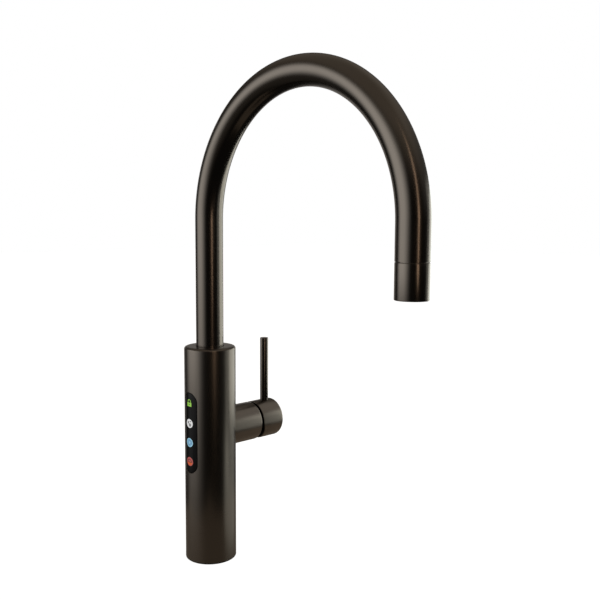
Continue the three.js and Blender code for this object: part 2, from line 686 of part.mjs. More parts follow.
function addNozzle(spout) {
  const nozzle = new THREE.Group();
  nozzle.position.set(0, -2 * ARC_R, 0);
  spout.add(nozzle);

  const collar = revolve([
    [NOZZLE_BORE, OUTLET_Z], [SPOUT_R, OUTLET_Z], [SPOUT_R, SEAM_Z], [LINER_R, SEAM_Z],
    [LINER_R, SEAM_Z + JOINT_DEPTH], [SPIGOT_BORE, SEAM_Z + JOINT_DEPTH],
    [SPIGOT_BORE, NOZZLE_STEP], [NOZZLE_BORE, NOZZLE_STEP],
  ], SPOUT_SIDES);
  piece('nozzle_collar', collar, gunmetal, nozzle);

  const sealZ = FORMER_TOP + FIT;
  piece('nozzle_seal',
    sleeve(SPIGOT_BORE, FORMER_R, sealZ, sealZ + NOZZLE_SEAL_T), rubber, nozzle);

  const guide = PIPE_R + FIT;
  const streamR = (guide + FORMER_R) / 2;
  const holes = (low, high) => Array.from({ length: STREAM_HOLES }, (_, i) => {
    const angle = (2 * Math.PI * i) / STREAM_HOLES;
    const [x, y] = [streamR * Math.cos(angle), streamR * Math.sin(angle)];
    return rod(STREAM_HOLE_R, low, high, SECTION_SIDES, x, y);
  });
  const deck = FORMER_TOP - FORMER_DECK;
  const former = revolve([
    [guide, FORMER_Z], [guide + FORMER_WALL, FORMER_Z], [guide + FORMER_WALL, deck],
    [FORMER_R - FORMER_WALL, deck], [FORMER_R - FORMER_WALL, FORMER_Z], [FORMER_R, FORMER_Z],
    [FORMER_R, FORMER_TOP], [guide, FORMER_TOP],
  ]);
  piece('stream_former', cut(former, holes(deck - OVER, FORMER_TOP + OVER)), greyPlastic, nozzle);

  const screenZ = OUTLET_Z + SCREEN_SINK;
  const screen = sleeve(guide, FORMER_R, screenZ, screenZ + SCREEN_T);
  piece('outlet_screen', cut(screen, holes(screenZ - OVER, screenZ + SCREEN_T + OVER)), steel, nozzle);

  const tip = sleeve(PIPE_R - TIP_WALL, PIPE_R, screenZ, INNER_END - FIT, FINE_SIDES);
  piece('boiling_water_tip', tip, steel, nozzle);
}

// ---------------------------------------------------------------------------
// Touch panel
// ---------------------------------------------------------------------------

const keyHeight = (index) => PANEL_Z + ((KEY_NAMES.length - 1) / 2 - index) * KEY_PITCH;

function addTouchPanel() {
  const reach = 2 * BODY_R;
  const low = PANEL_Z - PANEL_HEIGHT;
  const high = PANEL_Z + PANEL_HEIGHT;
  const face = common(sleeve(LENS_BACK, LENS_R, low, high, BODY_SIDES),
    panelPrism(capsule(PANEL_WIDTH, PANEL_HEIGHT), -reach, 0));
  const flange = common(sleeve(LENS_BACK, FLANGE_R, low, high, BODY_SIDES),
    panelPrism(capsule(FLANGE_WIDTH, FLANGE_HEIGHT), -reach, 0));
  const across = (radius, from, to, z, sides = SMALL_SIDES) =>
    lying(rod(radius, from, to, sides)).translate(0, 0, z);

  const bosses = [];
  const screwHoles = [];
  const keyHoles = KEY_NAMES.map((_, i) => across(KEY_R + FIT, -reach, 0, keyHeight(i)));
  for (const side of [1, -1]) {
    const z = PANEL_Z + side * BOSS_Z;
    bosses.push(across(BOSS_R, -LENS_BACK - OVER, -LENS_BACK + BOSS_H, z, FINE_SIDES));
    screwHoles.push(across(BOARD_SCREW_R + FIT, BOARD_BACK - BOARD_SCREW_LENGTH, 0, z, FINE_SIDES));
  }
  piece('touch_lens', cut(join(face, flange, bosses), keyHoles, screwHoles), blackGloss);

  const gasketOuter = FLANGE_R + FIT + GASKET_T;
  const gasket = common(sleeve(FLANGE_R + FIT, gasketOuter, low, high, BODY_SIDES),
    panelPrism(capsule(FLANGE_WIDTH, FLANGE_HEIGHT), -reach, 0));
  const gasketHole = panelPrism(capsule(PANEL_WIDTH + 2 * FIT, PANEL_HEIGHT + 2 * FIT), -reach, 0);
  piece('lens_gasket', cut(gasket, gasketHole), rubber);

  const board = block([BOARD_X, -BOARD_WIDTH / 2, PANEL_Z - BOARD_HALF],
    [BOARD_BACK, BOARD_WIDTH / 2, PANEL_Z + BOARD_HALF]);
  piece('touch_board', cut(board, screwHoles), boardGreen);

  KEY_NAMES.forEach((name, i) => {
    const guide = across(KEY_R, -reach, BOARD_X - FIT, keyHeight(i));
    const outside = rod(LENS_R, low, high, BODY_SIDES);
    const tint = finish(keyColours[i], 0.35, 0);
    piece(`light_guide_${name}`, common(guide, outside), tint);
  });

  [1, -1].forEach((side) => {
    const seat = BOARD_BACK + FIT;
    const screw = revolve([
      [0, seat - BOARD_SCREW_LENGTH], [BOARD_SCREW_R, seat - BOARD_SCREW_LENGTH],
      [BOARD_SCREW_R, seat], [BOARD_SCREW_HEAD_R, seat],
      [BOARD_SCREW_HEAD_R, seat + BOARD_SCREW_HEAD_H], [0, seat + BOARD_SCREW_HEAD_H],
    ], FINE_SIDES);
    const name = side > 0 ? 'board_screw_upper' : 'board_screw_lower';
    piece(name, lying(screw), steel).position.set(0, 0, PANEL_Z + side * BOSS_Z);
  });
}

function addWiring() {
  const [depth, width, height] = CONNECTOR_SIZE;
  const plugX = BOARD_BACK + FIT;
  const plugZ = PANEL_Z - BOSS_Z + CONNECTOR_RISE;
  const plug = block([plugX, -width / 2, plugZ], [plugX + depth, width / 2, plugZ + height]);
  piece('board_connector', plug, whitePlastic);

  const entry = plugX + CABLE_R;
  const tail = PIPE_TAIL_Z + SOCKET_L;
  const bend = plugZ - CABLE_BEND;
  const straight = [0, 0.25, 0.5, 0.75, 1].map((t) => [CABLE_X, THREE.MathUtils.lerp(tail, bend, t)]);
  const route = new THREE.CatmullRomCurve3([
    ...straight, [(CABLE_X + entry) / 2, (bend + plugZ) / 2],
    [entry, plugZ - CABLE_R], [entry, plugZ - FIT],
  ].map(([x, z]) => new THREE.Vector3(x, 0, z)));
  const section = new THREE.Shape(circle(CABLE_R, SECTION_SIDES));
  const cable = new THREE.ExtrudeGeometry(section, { steps: CABLE_STEPS, extrudePath: route });
  piece('signal_cable', cable, rubber);
  const socket = rod(SOCKET_R, PIPE_TAIL_Z, tail - FIT, FINE_SIDES);
  piece('cable_socket', socket, greyPlastic).position.set(CABLE_X, 0, 0);
}

// ---------------------------------------------------------------------------
// Mixer valve. Its pieces are made along +Z with their upper side at +X, and the
// group lays them along +X at the valve's height.
// ---------------------------------------------------------------------------

const portPlaces = [[-PORT_DROP, PORT_Y], [-PORT_DROP, -PORT_Y], [PORT_RISE, 0]];

/** Port drillings through a disc. */
function ports(low, high) {
  return portPlaces.map(([up, across]) => rod(PORT_R, low, high, FINE_SIDES, up, across));
}

function addBarrel() {
  const spigotR = VALVE_R - CAP_SHELL - FIT;
  const outside = lying(revolve([
    [0, 0], [VALVE_R, 0], [VALVE_R, BARREL_END - BARREL_CHAMFER],
    [VALVE_R - BARREL_CHAMFER, BARREL_END], [0, BARREL_END],
  ], VALVE_SIDES)).translate(0, 0, VALVE_Z);
  const column = rod(BODY_R + FIT, VALVE_Z - 2 * VALVE_R, VALVE_Z + 2 * VALVE_R, BODY_SIDES);
  const spigot = lying(rod(spigotR, BLOCK_FACE + FIT, (BODY_R + BARREL_END) / 2, VALVE_SIDES));
  const bore = lying(rod(CART_R + FIT, 0, 2 * BARREL_END)).translate(0, 0, VALVE_Z);
  const thread = lying(rod(NUT_RING_R - CAP_SHELL / 2 + FIT, NUT_RING_X - FIT, 2 * BARREL_END,
    VALVE_SIDES)).translate(0, 0, VALVE_Z);
  const barrel = join(cut(outside, column), spigot.translate(0, 0, VALVE_Z));
  piece('valve_barrel', cut(barrel, bore, thread), gunmetal);
}

function addCartridge(valve) {
  const seal = rod(CART_R, PORT_SEAL_X, PORT_SEAL_X + PORT_SEAL_T);
  piece('port_seal', cut(seal, ports(0, BARREL_END)), rubber, valve);

  const cup = revolve([
    [0, CART_X], [CART_R, CART_X], [CART_R, ROTOR_END], [CART_BORE, ROTOR_END],
    [CART_BORE, CART_X + CART_FLOOR], [0, CART_X + CART_FLOOR],
  ]);
  piece('cartridge_housing', cut(cup, ports(0, CART_X + CART_FLOOR + OVER)), greyPlastic, valve);

  const fixed = rod(RUNNING_R, FIXED_X, FIXED_X + DISC_T);
  piece('fixed_ceramic_disc', cut(fixed, ports(0, BARREL_END)), ceramic, valve);

  piece('cartridge_lid', sleeve(NUT_RING_BORE, CART_R, LID_X, CART_END), greyPlastic, valve);

  const ringR = NUT_RING_R - CAP_SHELL / 2;
  const ring = sleeve(NUT_RING_BORE, ringR, NUT_RING_X, NUT_RING_X + NUT_RING_L);
  const notches = [0, 1].map((i) => block(
    [-2 * VALVE_R, -NUT_NOTCH / 2, NUT_RING_X + NUT_RING_L / 2],
    [2 * VALVE_R, NUT_NOTCH / 2, 2 * BARREL_END]).rotateZ((Math.PI / 2) * i));
  piece('cartridge_nut', cut(ring, notches), brass, valve);
}

/** Half the width that the tilting stem needs at a place along the valve's axis. */
function stemSwing(x) {
  return Math.abs(x - PIVOT_X) * Math.tan(radians(TILT_LIMIT)) + STEM_HUB_R + STEM_PLAY;
}

function addRotor(valve) {
  const slotHalf = Math.max(stemSwing(ROTOR_X), stemSwing(ROTOR_END));
  const slotWidth = STEM_HUB_R + FIT;
  const slot = block([-slotHalf, -slotWidth, ROTOR_X - OVER],
    [slotHalf, slotWidth, ROTOR_END + OVER]);
  const pinHole = rod(PIVOT_R + FIT, -2 * CART_R, 2 * CART_R, FINE_SIDES).rotateX(Math.PI / 2);
  pinHole.translate(0, 0, PIVOT_X);
  const rotor = cut(rod(RUNNING_R, ROTOR_X, ROTOR_END), slot, pinHole);
  piece('cartridge_rotor', rotor, whitePlastic, valve);

  const pinHalf = Math.sqrt(RUNNING_R ** 2 - PIVOT_R ** 2) - FIT;
  const pin = rod(PIVOT_R, -pinHalf, pinHalf, FINE_SIDES).rotateX(Math.PI / 2);
  piece('pivot_pin', pin, steel, valve).position.set(0, 0, PIVOT_X);
}

function addMovingDisc(valve) {
  const disc = rod(MOVING_R, MOVING_X, MOVING_X + DISC_T);
  const side = MIX_POCKET / 2;
  const pocket = block([-side, -side, MOVING_X - OVER], [side, side, MOVING_X + DISC_T / 2]);
  piece('moving_ceramic_disc', cut(disc, pocket), ceramic, valve);

  const carrier = rod(MOVING_R, CARRIER_X, CARRIER_X + CARRIER_T);
  const socket = BALL_R + FIT;
  const ballSlot = block([-socket, -socket, CARRIER_X - OVER], [socket, socket, ROTOR_X]);
  piece('disc_carrier', cut(carrier, ballSlot), greyPlastic, valve);
}

function addLever(valve) {
  const ball = new THREE.SphereGeometry(BALL_R, FINE_SIDES, SECTION_SIDES).translate(0, 0, BALL_X);
  const neck = rod(STEM_NECK_R, BALL_X, PIVOT_X, FINE_SIDES);
  const hub = rod(STEM_HUB_R, PIVOT_X - PIVOT_R - STEM_EYE, ROTOR_END, SMALL_SIDES);
  const hubStart = CAP_END - CAP_HUB;
  const half = STEM / 2;
  const square = block([-half, -half, ROTOR_END - OVER], [half, half, hubStart + STEM_GRIP]);
  const pinHole = rod(PIVOT_R + FIT, -STEM, STEM, FINE_SIDES).rotateX(Math.PI / 2);
  const stem = cut(join(ball, neck, hub, square), pinHole.translate(0, 0, PIVOT_X));
  piece('cartridge_stem', stem, brass, valve);

  const capBore = VALVE_R - CAP_SHELL;
  const cap = revolve([
    [capBore, CAP_FACE], [VALVE_R, CAP_FACE],
    ...roundEdge(VALVE_R, CAP_END, CAP_EDGE), [0, CAP_END], [0, hubStart], [capBore, hubStart],
  ], VALVE_SIDES);
  const seat = half + FIT;
  const stemHole = block([-seat, -seat, hubStart - OVER], [seat, seat, hubStart + STEM_GRIP + FIT]);
  const leverFoot = half + 2 * FIT + LEVER_WEB;
  const leverHole = rod(LEVER_R + FIT, leverFoot - FIT, 2 * VALVE_R, SMALL_SIDES)
    .rotateY(Math.PI / 2).translate(0, 0, LEVER_X);
  const grubX = hubStart + STEM_GRIP / 2;
  const grubHole = rod(GRUB_R + FIT, -2 * VALVE_R, 0, FINE_SIDES)
    .rotateY(Math.PI / 2).translate(0, 0, grubX);
  const wedge = block([-2 * VALVE_R, -2 * VALVE_R, -2 * VALVE_R], [0, 2 * VALVE_R, 0])
    .rotateY(radians(CAP_SLANT)).translate(0, 0, CAP_FACE);
  piece('lever_cap', cut(cap, stemHole, leverHole, grubHole, wedge), gunmetal, valve);

  const lever = revolve([
    [0, leverFoot], [LEVER_R, leverFoot], ...roundEdge(LEVER_R, LEVER_RISE, LEVER_EDGE),
    [0, LEVER_RISE],
  ], SMALL_SIDES).rotateY(Math.PI / 2);
  piece('lever_pin', lever, gunmetal, valve).position.set(0, 0, LEVER_X);

  const grubFoot = half + FIT;
  const grubHead = grubFoot + GRUB_L;
  const grub = revolve([
    [0, grubFoot], [GRUB_R, grubFoot], [GRUB_R, grubHead], [HEX_KEY_R, grubHead],
    [HEX_KEY_R, grubHead - HEX_KEY_DEPTH], [0, grubHead - HEX_KEY_DEPTH],
  ], FINE_SIDES).rotateY(-Math.PI / 2);
  piece('lever_grub_screw', grub, steel, valve).position.set(0, 0, grubX);
}

// ---------------------------------------------------------------------------
// Assembly
// ---------------------------------------------------------------------------

addColumn();
addFoot();
addFeedPipes();
addManifoldBlock();
addTee();
addSwivelSocket();
addTouchPanel();
addWiring();
addBarrel();

const valve = new THREE.Group();
valve.quaternion.set(Math.SQRT1_2, 0, Math.SQRT1_2, 0);
valve.position.set(0, 0, VALVE_Z);
tap.add(valve);
addCartridge(valve);
addRotor(valve);
addMovingDisc(valve);
addLever(valve);

const spout = new THREE.Group();
tap.add(spout);
addSpigot(spout);
addSpoutTubes(spout);
addSpacers(spout);
addNozzle(spout);

export default tap;
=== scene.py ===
"""Looks of a boiling water tap: satin gunmetal column and gooseneck spout, side mixer lever and
an upright black touch panel with four lit keys."""
import math

import bmesh
import bpy
from mathutils import Matrix, Vector


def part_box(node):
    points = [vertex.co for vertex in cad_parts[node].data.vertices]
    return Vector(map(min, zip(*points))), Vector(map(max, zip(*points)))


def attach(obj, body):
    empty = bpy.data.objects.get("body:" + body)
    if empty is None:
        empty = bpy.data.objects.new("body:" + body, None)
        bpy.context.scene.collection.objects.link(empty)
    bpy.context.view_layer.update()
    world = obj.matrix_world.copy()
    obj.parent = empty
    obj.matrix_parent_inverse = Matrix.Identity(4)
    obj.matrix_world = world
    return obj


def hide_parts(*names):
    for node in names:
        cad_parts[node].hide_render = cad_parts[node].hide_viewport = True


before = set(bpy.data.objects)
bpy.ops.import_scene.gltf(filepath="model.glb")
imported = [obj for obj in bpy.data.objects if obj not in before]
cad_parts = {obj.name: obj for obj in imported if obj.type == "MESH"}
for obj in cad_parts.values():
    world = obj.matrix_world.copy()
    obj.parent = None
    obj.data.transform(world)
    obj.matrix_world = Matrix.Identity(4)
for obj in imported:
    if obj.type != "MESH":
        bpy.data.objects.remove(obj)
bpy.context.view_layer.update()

MM = 0.001
TURN = 2 * math.pi
SCENE = bpy.context.scene

# ---------------------------------------------------------------------------
# Sizes, from the frame where it has them
# ---------------------------------------------------------------------------

GAP = 0.3 * MM                  # between pieces that touch
HAIR = 0.03 * MM                # between a key and its hole

column_low, column_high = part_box("body_shell")
COLUMN_R = (column_high.x - column_low.x) / 2
COLUMN_H = column_high.z
COLUMN_BORE = COLUMN_R - 2.5 * MM
COLUMN_ROOF = 3.5 * MM
COLUMN_EDGE = 2.4 * MM
FOOT_EDGE = 0.35 * MM
COLLAR_EDGE = 0.4 * MM          # round the spout's hole in the roof

tube_low, tube_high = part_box("spout_tube")
TUBE_R = (tube_high.x - tube_low.x) / 2
TUBE_BORE = TUBE_R - 1.2 * MM
ARC_R = (-tube_low.y - TUBE_R) / 2
ARC_Z = tube_high.z - ARC_R - TUBE_R

collar_low, collar_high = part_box("nozzle_collar")
OUTLET_Z = collar_low.z
JOINT_DEPTH = 6.5 * MM
JOINT_BORE = 9 * MM
SEAM_Z = collar_high.z - JOINT_DEPTH
SEAM_EDGE = 0.5 * MM
NOZZLE_EDGE = 0.5 * MM
NOZZLE_BORE = TUBE_R - 1.55 * MM

barrel_low, barrel_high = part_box("valve_barrel")
VALVE_R = (barrel_high.z - barrel_low.z) / 2
VALVE_Z = (barrel_high.z + barrel_low.z) / 2
BARREL_END = barrel_high.x
BARREL_EDGE = 1.8 * MM
BARREL_RIM = 0.4 * MM
BARREL_SEAT = 0.05 * MM         # how far the barrel is let into the column
BARREL_BORE = 12.8 * MM

cap_low, cap_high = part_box("lever_cap")
CAP_FACE, CAP_END = cap_low.x, cap_high.x
CAP_EDGE = 2.4 * MM
CAP_RIM = 0.35 * MM             # chamfer of the edge at the gap
CAP_BORE = VALVE_R - 3 * MM
CAP_HUB = 13 * MM               # solid end of the cap that holds stem and lever
CAP_SLANT = math.radians(13.5)
STEM_HALF = 3.5 * MM            # half the width of the square stem
STEM_GRIP = 8 * MM
STEM_LEAD = 1 * MM              # how far the stem's hole starts before the hub
PAINTED_SHADE_DEPTH = 0.9 * MM         # below the valve's surface, where painted shade darkens its inside

pin_low, pin_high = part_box("lever_pin")
LEVER_X = (pin_low.x + pin_high.x) / 2
LEVER_R = (pin_high.x - pin_low.x) / 2
LEVER_EDGE = 0.5 * MM
LEVER_PLAY = 4 * HAIR           # round the lever in its hole

SET_SCREW_FACETS = 20           # sides of the solids' set screws
SET_SCREW_TIP = 0.5 * MM
SET_SCREW_RIM = 0.4 * MM
HEX_SHARE = 0.58                # hexagon socket over the screw's radius
HEX_DEPTH = 2 * MM

lens_low, lens_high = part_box("touch_lens")
LENS_R = -lens_low.x
PANEL_Z = (lens_low.z + lens_high.z) / 2
PANEL_W = 18.1 * MM
FLANGE_W = lens_high.y - lens_low.y
FLANGE_H = lens_high.z - lens_low.z
LENS_RIM = 2.4 * MM             # how far the flange reaches past the window
PANEL_H = FLANGE_H - 2 * (LENS_RIM + GAP)
FLANGE_DEPTH = 3.1 * MM         # front of the flange below the lens's surface
LENS_DEPTH = 4.6 * MM
LENS_EDGE = 0.35 * MM
WINDOW_EDGE = 0.3 * MM
KEY_R = 4.15 * MM
KEY_PITCH = 18.1 * MM
KEY_DEPTH = 6 * MM
KEY_STRETCH = 1.12              # width of a key over its height
KEY_SHIFT = 0.4 * MM            # keys behind the middle of the panel
PRINT_PROUD = 0.03 * MM         # ink of the symbols above the lens

SHANK_R = 16 * MM
SHANK_BORE = 13.8 * MM
THREAD_PITCH = 1.5 * MM
THREAD_DEPTH = 0.8 * MM
THREAD_ROOT = 0.1 * MM          # how far the thread reaches into its core
SHANK_EDGE = 0.4 * MM
NUT_FLAT = 44 * MM
NUT_BORE_EDGE = 0.8 * MM
NUT_CHAMFER = 1.8 * MM
RUBBER_EDGE = 0.8 * MM
STEEL_EDGE = 0.25 * MM
PIPE_WALL = 1 * MM
PIPE_EDGE = 0.25 * MM

COLUMN_STEPS = 192              # facets round each kind of piece
TUBE_STEPS = 96
ARC_STEPS = 160
VALVE_STEPS = 144
RING_STEPS = 96
LEVER_STEPS = 64
SMALL_STEPS = 48
CAPSULE_STEPS = 96
ROUND_STEPS = 5
STRIP = 0.8 * MM                # width of the strips that bend a flat shape round the column
SMOOTH_ANGLE = math.radians(28)

# ---------------------------------------------------------------------------
# Camera
# ---------------------------------------------------------------------------

CAMERA_AZIMUTH = -36.741        # degrees from straight in front, as seen from the column
CAMERA_DISTANCE = 0.729713
CAMERA_HEIGHT = 0.322976
CAMERA_YAW = 6.628
CAMERA_PITCH = 6.019
CAMERA_ROLL = 0.335
CAMERA_LENS = 46.943
SENSOR_WIDTH = 36


def direction(bearing):
    """Level direction from the column, in degrees clockwise from straight in front."""
    angle = math.radians(bearing)
    return Vector((math.sin(angle), -math.cos(angle), 0))


def add_camera():
    place = direction(CAMERA_AZIMUTH) * CAMERA_DISTANCE + Vector((0, 0, CAMERA_HEIGHT))
    heading = -direction(CAMERA_AZIMUTH)
    heading.rotate(Matrix.Rotation(math.radians(-CAMERA_YAW), 3, "Z"))
    pitch = math.radians(CAMERA_PITCH)
    forward = heading * math.cos(pitch) - Vector((0, 0, math.sin(pitch)))
    data = bpy.data.cameras.new("camera")
    data.lens, data.sensor_width = CAMERA_LENS, SENSOR_WIDTH
    data.clip_start, data.clip_end = 0.01, 50
    camera = bpy.data.objects.new("camera", data)
    SCENE.collection.objects.link(camera)
    turn = forward.to_track_quat("-Z", "Y").to_matrix()
    turn = turn @ Matrix.Rotation(math.radians(CAMERA_ROLL), 3, "Z")
    camera.matrix_world = Matrix.Translation(place) @ turn.to_4x4()
    SCENE.camera = camera


# ---------------------------------------------------------------------------
# Finishes
# ---------------------------------------------------------------------------


class Value:
    """A number or colour that varies over a surface. Arithmetic on it adds Math nodes."""

    def __init__(self, nodes, socket):
        self.nodes, self.socket = nodes, socket

    def maths(self, operation, *values):
        return self.nodes.node("Math", {"operation": operation}, dict(enumerate(values)))

    def __add__(self, other):
        return self.maths("ADD", self, other)

    def __mul__(self, other):
        return self.maths("MULTIPLY", self, other)

    __radd__, __rmul__ = __add__, __mul__


class Nodes:
    """The nodes of a material or of the surroundings."""

    def __init__(self, tree):
        self.tree = tree

    def node(self, kind, settings, inputs, output=None):
        """Adds a node: first its settings, then the values or links of its sockets."""
        node = self.tree.nodes.new("ShaderNode" + kind)
        for setting, value in settings.items():
            setattr(node, setting, value)
        sockets = [socket for socket in node.inputs if socket.enabled]
        by_name = {socket.name: socket for socket in reversed(sockets)}
        for key, value in inputs.items():
            socket = sockets[key] if isinstance(key, int) else by_name[key]
            if isinstance(value, Value):
                self.tree.links.new(value.socket, socket)
            else:
                socket.default_value = value
        outputs = [socket for socket in node.outputs if socket.enabled]
        return Value(self, node.outputs[output] if output else outputs[0])


class Finish(Nodes):
    """The material of one finish, with its shader's constants by socket name."""

    def __init__(self, name, slot, **constants):
        self.slot = slot
        self.material = bpy.data.materials.new(name)
        self.material.use_nodes = True
        super().__init__(self.material.node_tree)
        self.shader = self.tree.nodes["Principled BSDF"]
        for socket, value in constants.items():
            self.feed(socket.replace("_", " "), value)

    def feed(self, socket, value):
        """Sets a socket of the shader, or links a value that varies to it."""
        if isinstance(value, Value):
            self.tree.links.new(value.socket, self.shader.inputs[socket])
        else:
            self.shader.inputs[socket].default_value = value

    def place(self, attribute=None):
        """Position on the piece, or along the unbent piece where it keeps that attribute."""
        if attribute:
            return self.node("Attribute", {"attribute_name": attribute}, {}, "Vector")
        return self.node("TexCoord", {}, {}, "Object")

    def noise(self, place, scale, detail=2.0):
        """Soft noise between 0 and 1, with its own number of spots a metre along each axis."""
        scaled = self.node("Mapping", {}, {"Vector": place, "Scale": scale})
        return self.node("TexNoise", {}, {"Vector": scaled, "Scale": 1.0, "Detail": detail})

    def mix(self, amount, low, high):
        """A colour between two."""
        colours = {"Factor": amount, "A": (*low, 1), "B": (*high, 1)}
        return self.node("Mix", {"data_type": "RGBA"}, colours)

    def bump(self, height, strength, depth):
        heights = {"Strength": strength, "Distance": depth, "Height": height}
        return self.node("Bump", {}, heights)


METAL_DARK, METAL_PALE = (0.145, 0.128, 0.111), (0.175, 0.155, 0.136)
# colour of the shade painted inside the hollow valve, on the cap's inner faces and the barrel's
# end
PAINTED_SHADE_COLOUR = (0.012, 0.011, 0.01, 1)
COATING_SPOTS = (28, 28, 28)    # spots a metre of the coating's faint cloud


def gunmetal(name, grain, roughness, attribute=None, shade=None):
    """Satin dark gunmetal coating on brushed metal. The grain has its spots a metre by axis, and
    shade paints shade: a dark colour where it is 1."""
    finish = Finish(name, "gunmetal", Metallic=1.0)
    place = finish.place(attribute)
    brushed = finish.noise(place, grain, 3.0)
    cloud = finish.noise(place, COATING_SPOTS)
    colour = finish.mix(brushed * 0.5 + cloud * 0.5, METAL_DARK, METAL_PALE)
    if shade:
        colour = finish.node("Mix", {"data_type": "RGBA"},
                             {"Factor": shade(place), "A": colour, "B": PAINTED_SHADE_COLOUR})
    finish.feed("Base Color", colour)
    finish.feed("Roughness", roughness + brushed * 0.04 + cloud * 0.03)
    finish.feed("Normal", finish.bump(brushed, 0.03, 0.015 * MM))
    return finish


def machined(name, slot, low, high, grain, roughness):
    """Bare metal with the fine rings of a lathe or the lines of a drawn tube."""
    finish = Finish(name, slot, Metallic=1.0)
    place = finish.place()
    lines = finish.noise(place, grain)
    cloud = finish.noise(place, (90, 90, 90))
    finish.feed("Base Color", finish.mix(cloud * 0.7 + lines * 0.3, low, high))
    finish.feed("Roughness", roughness + lines * 0.15)
    finish.feed("Normal", finish.bump(lines, 0.15, 0.03 * MM))
    return finish


def moulded(name, slot, low, high, roughness, spots=1500):
    """Plastic, rubber or ceramic with a fine even texture and a faint cloud of colour."""
    finish = Finish(name, slot)
    place = finish.place()
    texture = finish.noise(place, (spots,) * 3)
    cloud = finish.noise(place, (60, 60, 60))
    finish.feed("Base Color", finish.mix(cloud, low, high))
    finish.feed("Roughness", roughness + texture * 0.12)
    finish.feed("Normal", finish.bump(texture, 0.1, 0.02 * MM))
    return finish


UNLIT_SHARE = 0.15              # colour of a lit piece's own surface over its light


def lit(name, slot, edge, middle):
    """A key or a symbol lit from behind, a little uneven as light guides are."""
    finish = Finish(name, slot, Roughness=0.3, Emission_Strength=1.0)
    cloud = finish.noise(finish.place(), (420, 420, 420))
    colour = finish.mix(cloud, edge, middle)
    finish.feed("Base Color", finish.mix(cloud, [c * UNLIT_SHARE for c in edge],
                                         [c * UNLIT_SHARE for c in middle]))
    finish.feed("Emission Color", colour)
    return finish


def polished_lens():
    """Black glossy cover with faint smears."""
    finish = Finish("polished_lens", "black_lens", Specular_IOR_Level=0.12)
    place = finish.place()
    smear = finish.noise(place, (45, 45, 20))
    finish.feed("Base Color", finish.mix(smear, (0.0075, 0.0075, 0.008), (0.0105, 0.0105, 0.011)))
    finish.feed("Roughness", 0.14 + smear * 0.08)
    return finish


def painted_valve_shade(place):
    """Where shade is painted: 1 inside the valve, off its outer surface and short of the cap's
    end.
    """
    x, y, z = (place.nodes.node("SeparateXYZ", {}, {"Vector": place}, axis) for axis in "XYZ")
    height = z + -VALVE_Z
    squared = y * y + height * height
    return (squared.maths("LESS_THAN", squared, (VALVE_R - PAINTED_SHADE_DEPTH) ** 2)
            * x.maths("LESS_THAN", x, CAP_END - 2 * CAP_EDGE))


COARSE, FINE = 60, 5200         # spots a metre along and across a brushed grain

column_metal = gunmetal("brushed_round_column", (COARSE, COARSE, FINE), 0.25)
# the valve's finish paints shade on the faces inside the hollow cap and at its gap to the barrel
valve_metal = gunmetal("brushed_round_valve_with_painted_shade", (FINE, COARSE, COARSE), 0.26,
                       shade=painted_valve_shade)
spout_metal = gunmetal("brushed_along_spout", (FINE, FINE, COARSE), 0.19, "unbent")
nozzle_metal = gunmetal("brushed_along_nozzle", (FINE, FINE, COARSE), 0.19)
lens_gloss = polished_lens()
brass = machined("turned_brass", "brass", (0.5, 0.34, 0.13), (0.62, 0.44, 0.19),
                 (80, 80, 2600), 0.28)
copper = machined("drawn_copper", "copper", (0.55, 0.24, 0.13), (0.66, 0.32, 0.19),
                  (2600, 2600, 50), 0.25)
steel = machined("drawn_steel", "steel", (0.48, 0.48, 0.47), (0.6, 0.6, 0.59),
                 (2600, 2600, 60), 0.22)
rubber = moulded("black_rubber", "rubber", (0.012, 0.012, 0.012), (0.02, 0.02, 0.019), 0.6)
white_plastic = moulded("white_acetal", "white_plastic", (0.7, 0.69, 0.65),
                        (0.78, 0.77, 0.73), 0.35)
grey_plastic = moulded("grey_moulding", "grey_plastic", (0.11, 0.12, 0.13),
                       (0.15, 0.16, 0.17), 0.42)
ceramic = moulded("lapped_ceramic", "ceramic", (0.78, 0.75, 0.68), (0.84, 0.82, 0.76), 0.14, 3000)
silicone = moulded("silicone_hose", "silicone", (0.6, 0.59, 0.55), (0.68, 0.67, 0.63), 0.45)
board_green = moulded("solder_mask", "circuit_board", (0.012, 0.1, 0.045),
                      (0.02, 0.14, 0.06), 0.25)

# ---------------------------------------------------------------------------
# Shapes
# ---------------------------------------------------------------------------


def outward(shape):
    """Turns the faces of a closed shape to point out."""
    bmesh.ops.recalc_face_normals(shape, faces=shape.faces)
    if shape.calc_volume(signed=True) < 0:
        bmesh.ops.reverse_faces(shape, faces=shape.faces)
    return shape


def turned(corners, steps):
    """A body turned about the Z axis from (radius, height, rounding) corners."""
    shape = bmesh.new()
    points = [shape.verts.new((radius, 0, height)) for radius, height, _ in corners]
    for point, following in zip(points, points[1:] + points[:1]):
        if point.co.x or following.co.x:
            shape.edges.new((point, following))
    for point, (_, _, rounding) in zip(points, corners):
        if rounding:
            bmesh.ops.bevel(shape, geom=[point], offset=rounding, offset_type="OFFSET",
                            segments=ROUND_STEPS, profile=0.5, affect="VERTICES", material=-1)
    bmesh.ops.spin(shape, geom=shape.verts[:] + shape.edges[:], axis=(0, 0, 1), cent=(0, 0, 0),
                   angle=TURN, steps=steps, use_merge=True)
    bmesh.ops.remove_doubles(shape, verts=shape.verts, dist=1e-7)
    return outward(shape)


def sleeve(inner, outer, low, high, edge, steps=SMALL_STEPS):
    """A round tube or washer with rounded edges."""
    return turned([(inner, low, edge), (outer, low, edge), (outer, high, edge),
                   (inner, high, edge)], steps)


def moved(shape, x=0.0, y=0.0, z=0.0):
    bmesh.ops.translate(shape, verts=shape.verts, vec=(x, y, z))
    return shape


def extruded(shape, edges):
    """Pulls a new strip of faces out of a line of edges. Gives its new points and edges."""
    made = bmesh.ops.extrude_edge_only(shape, edges=edges)["geom"]
    return ([item for item in made if isinstance(item, bmesh.types.BMVert)],
            [item for item in made if isinstance(item, bmesh.types.BMEdge)])


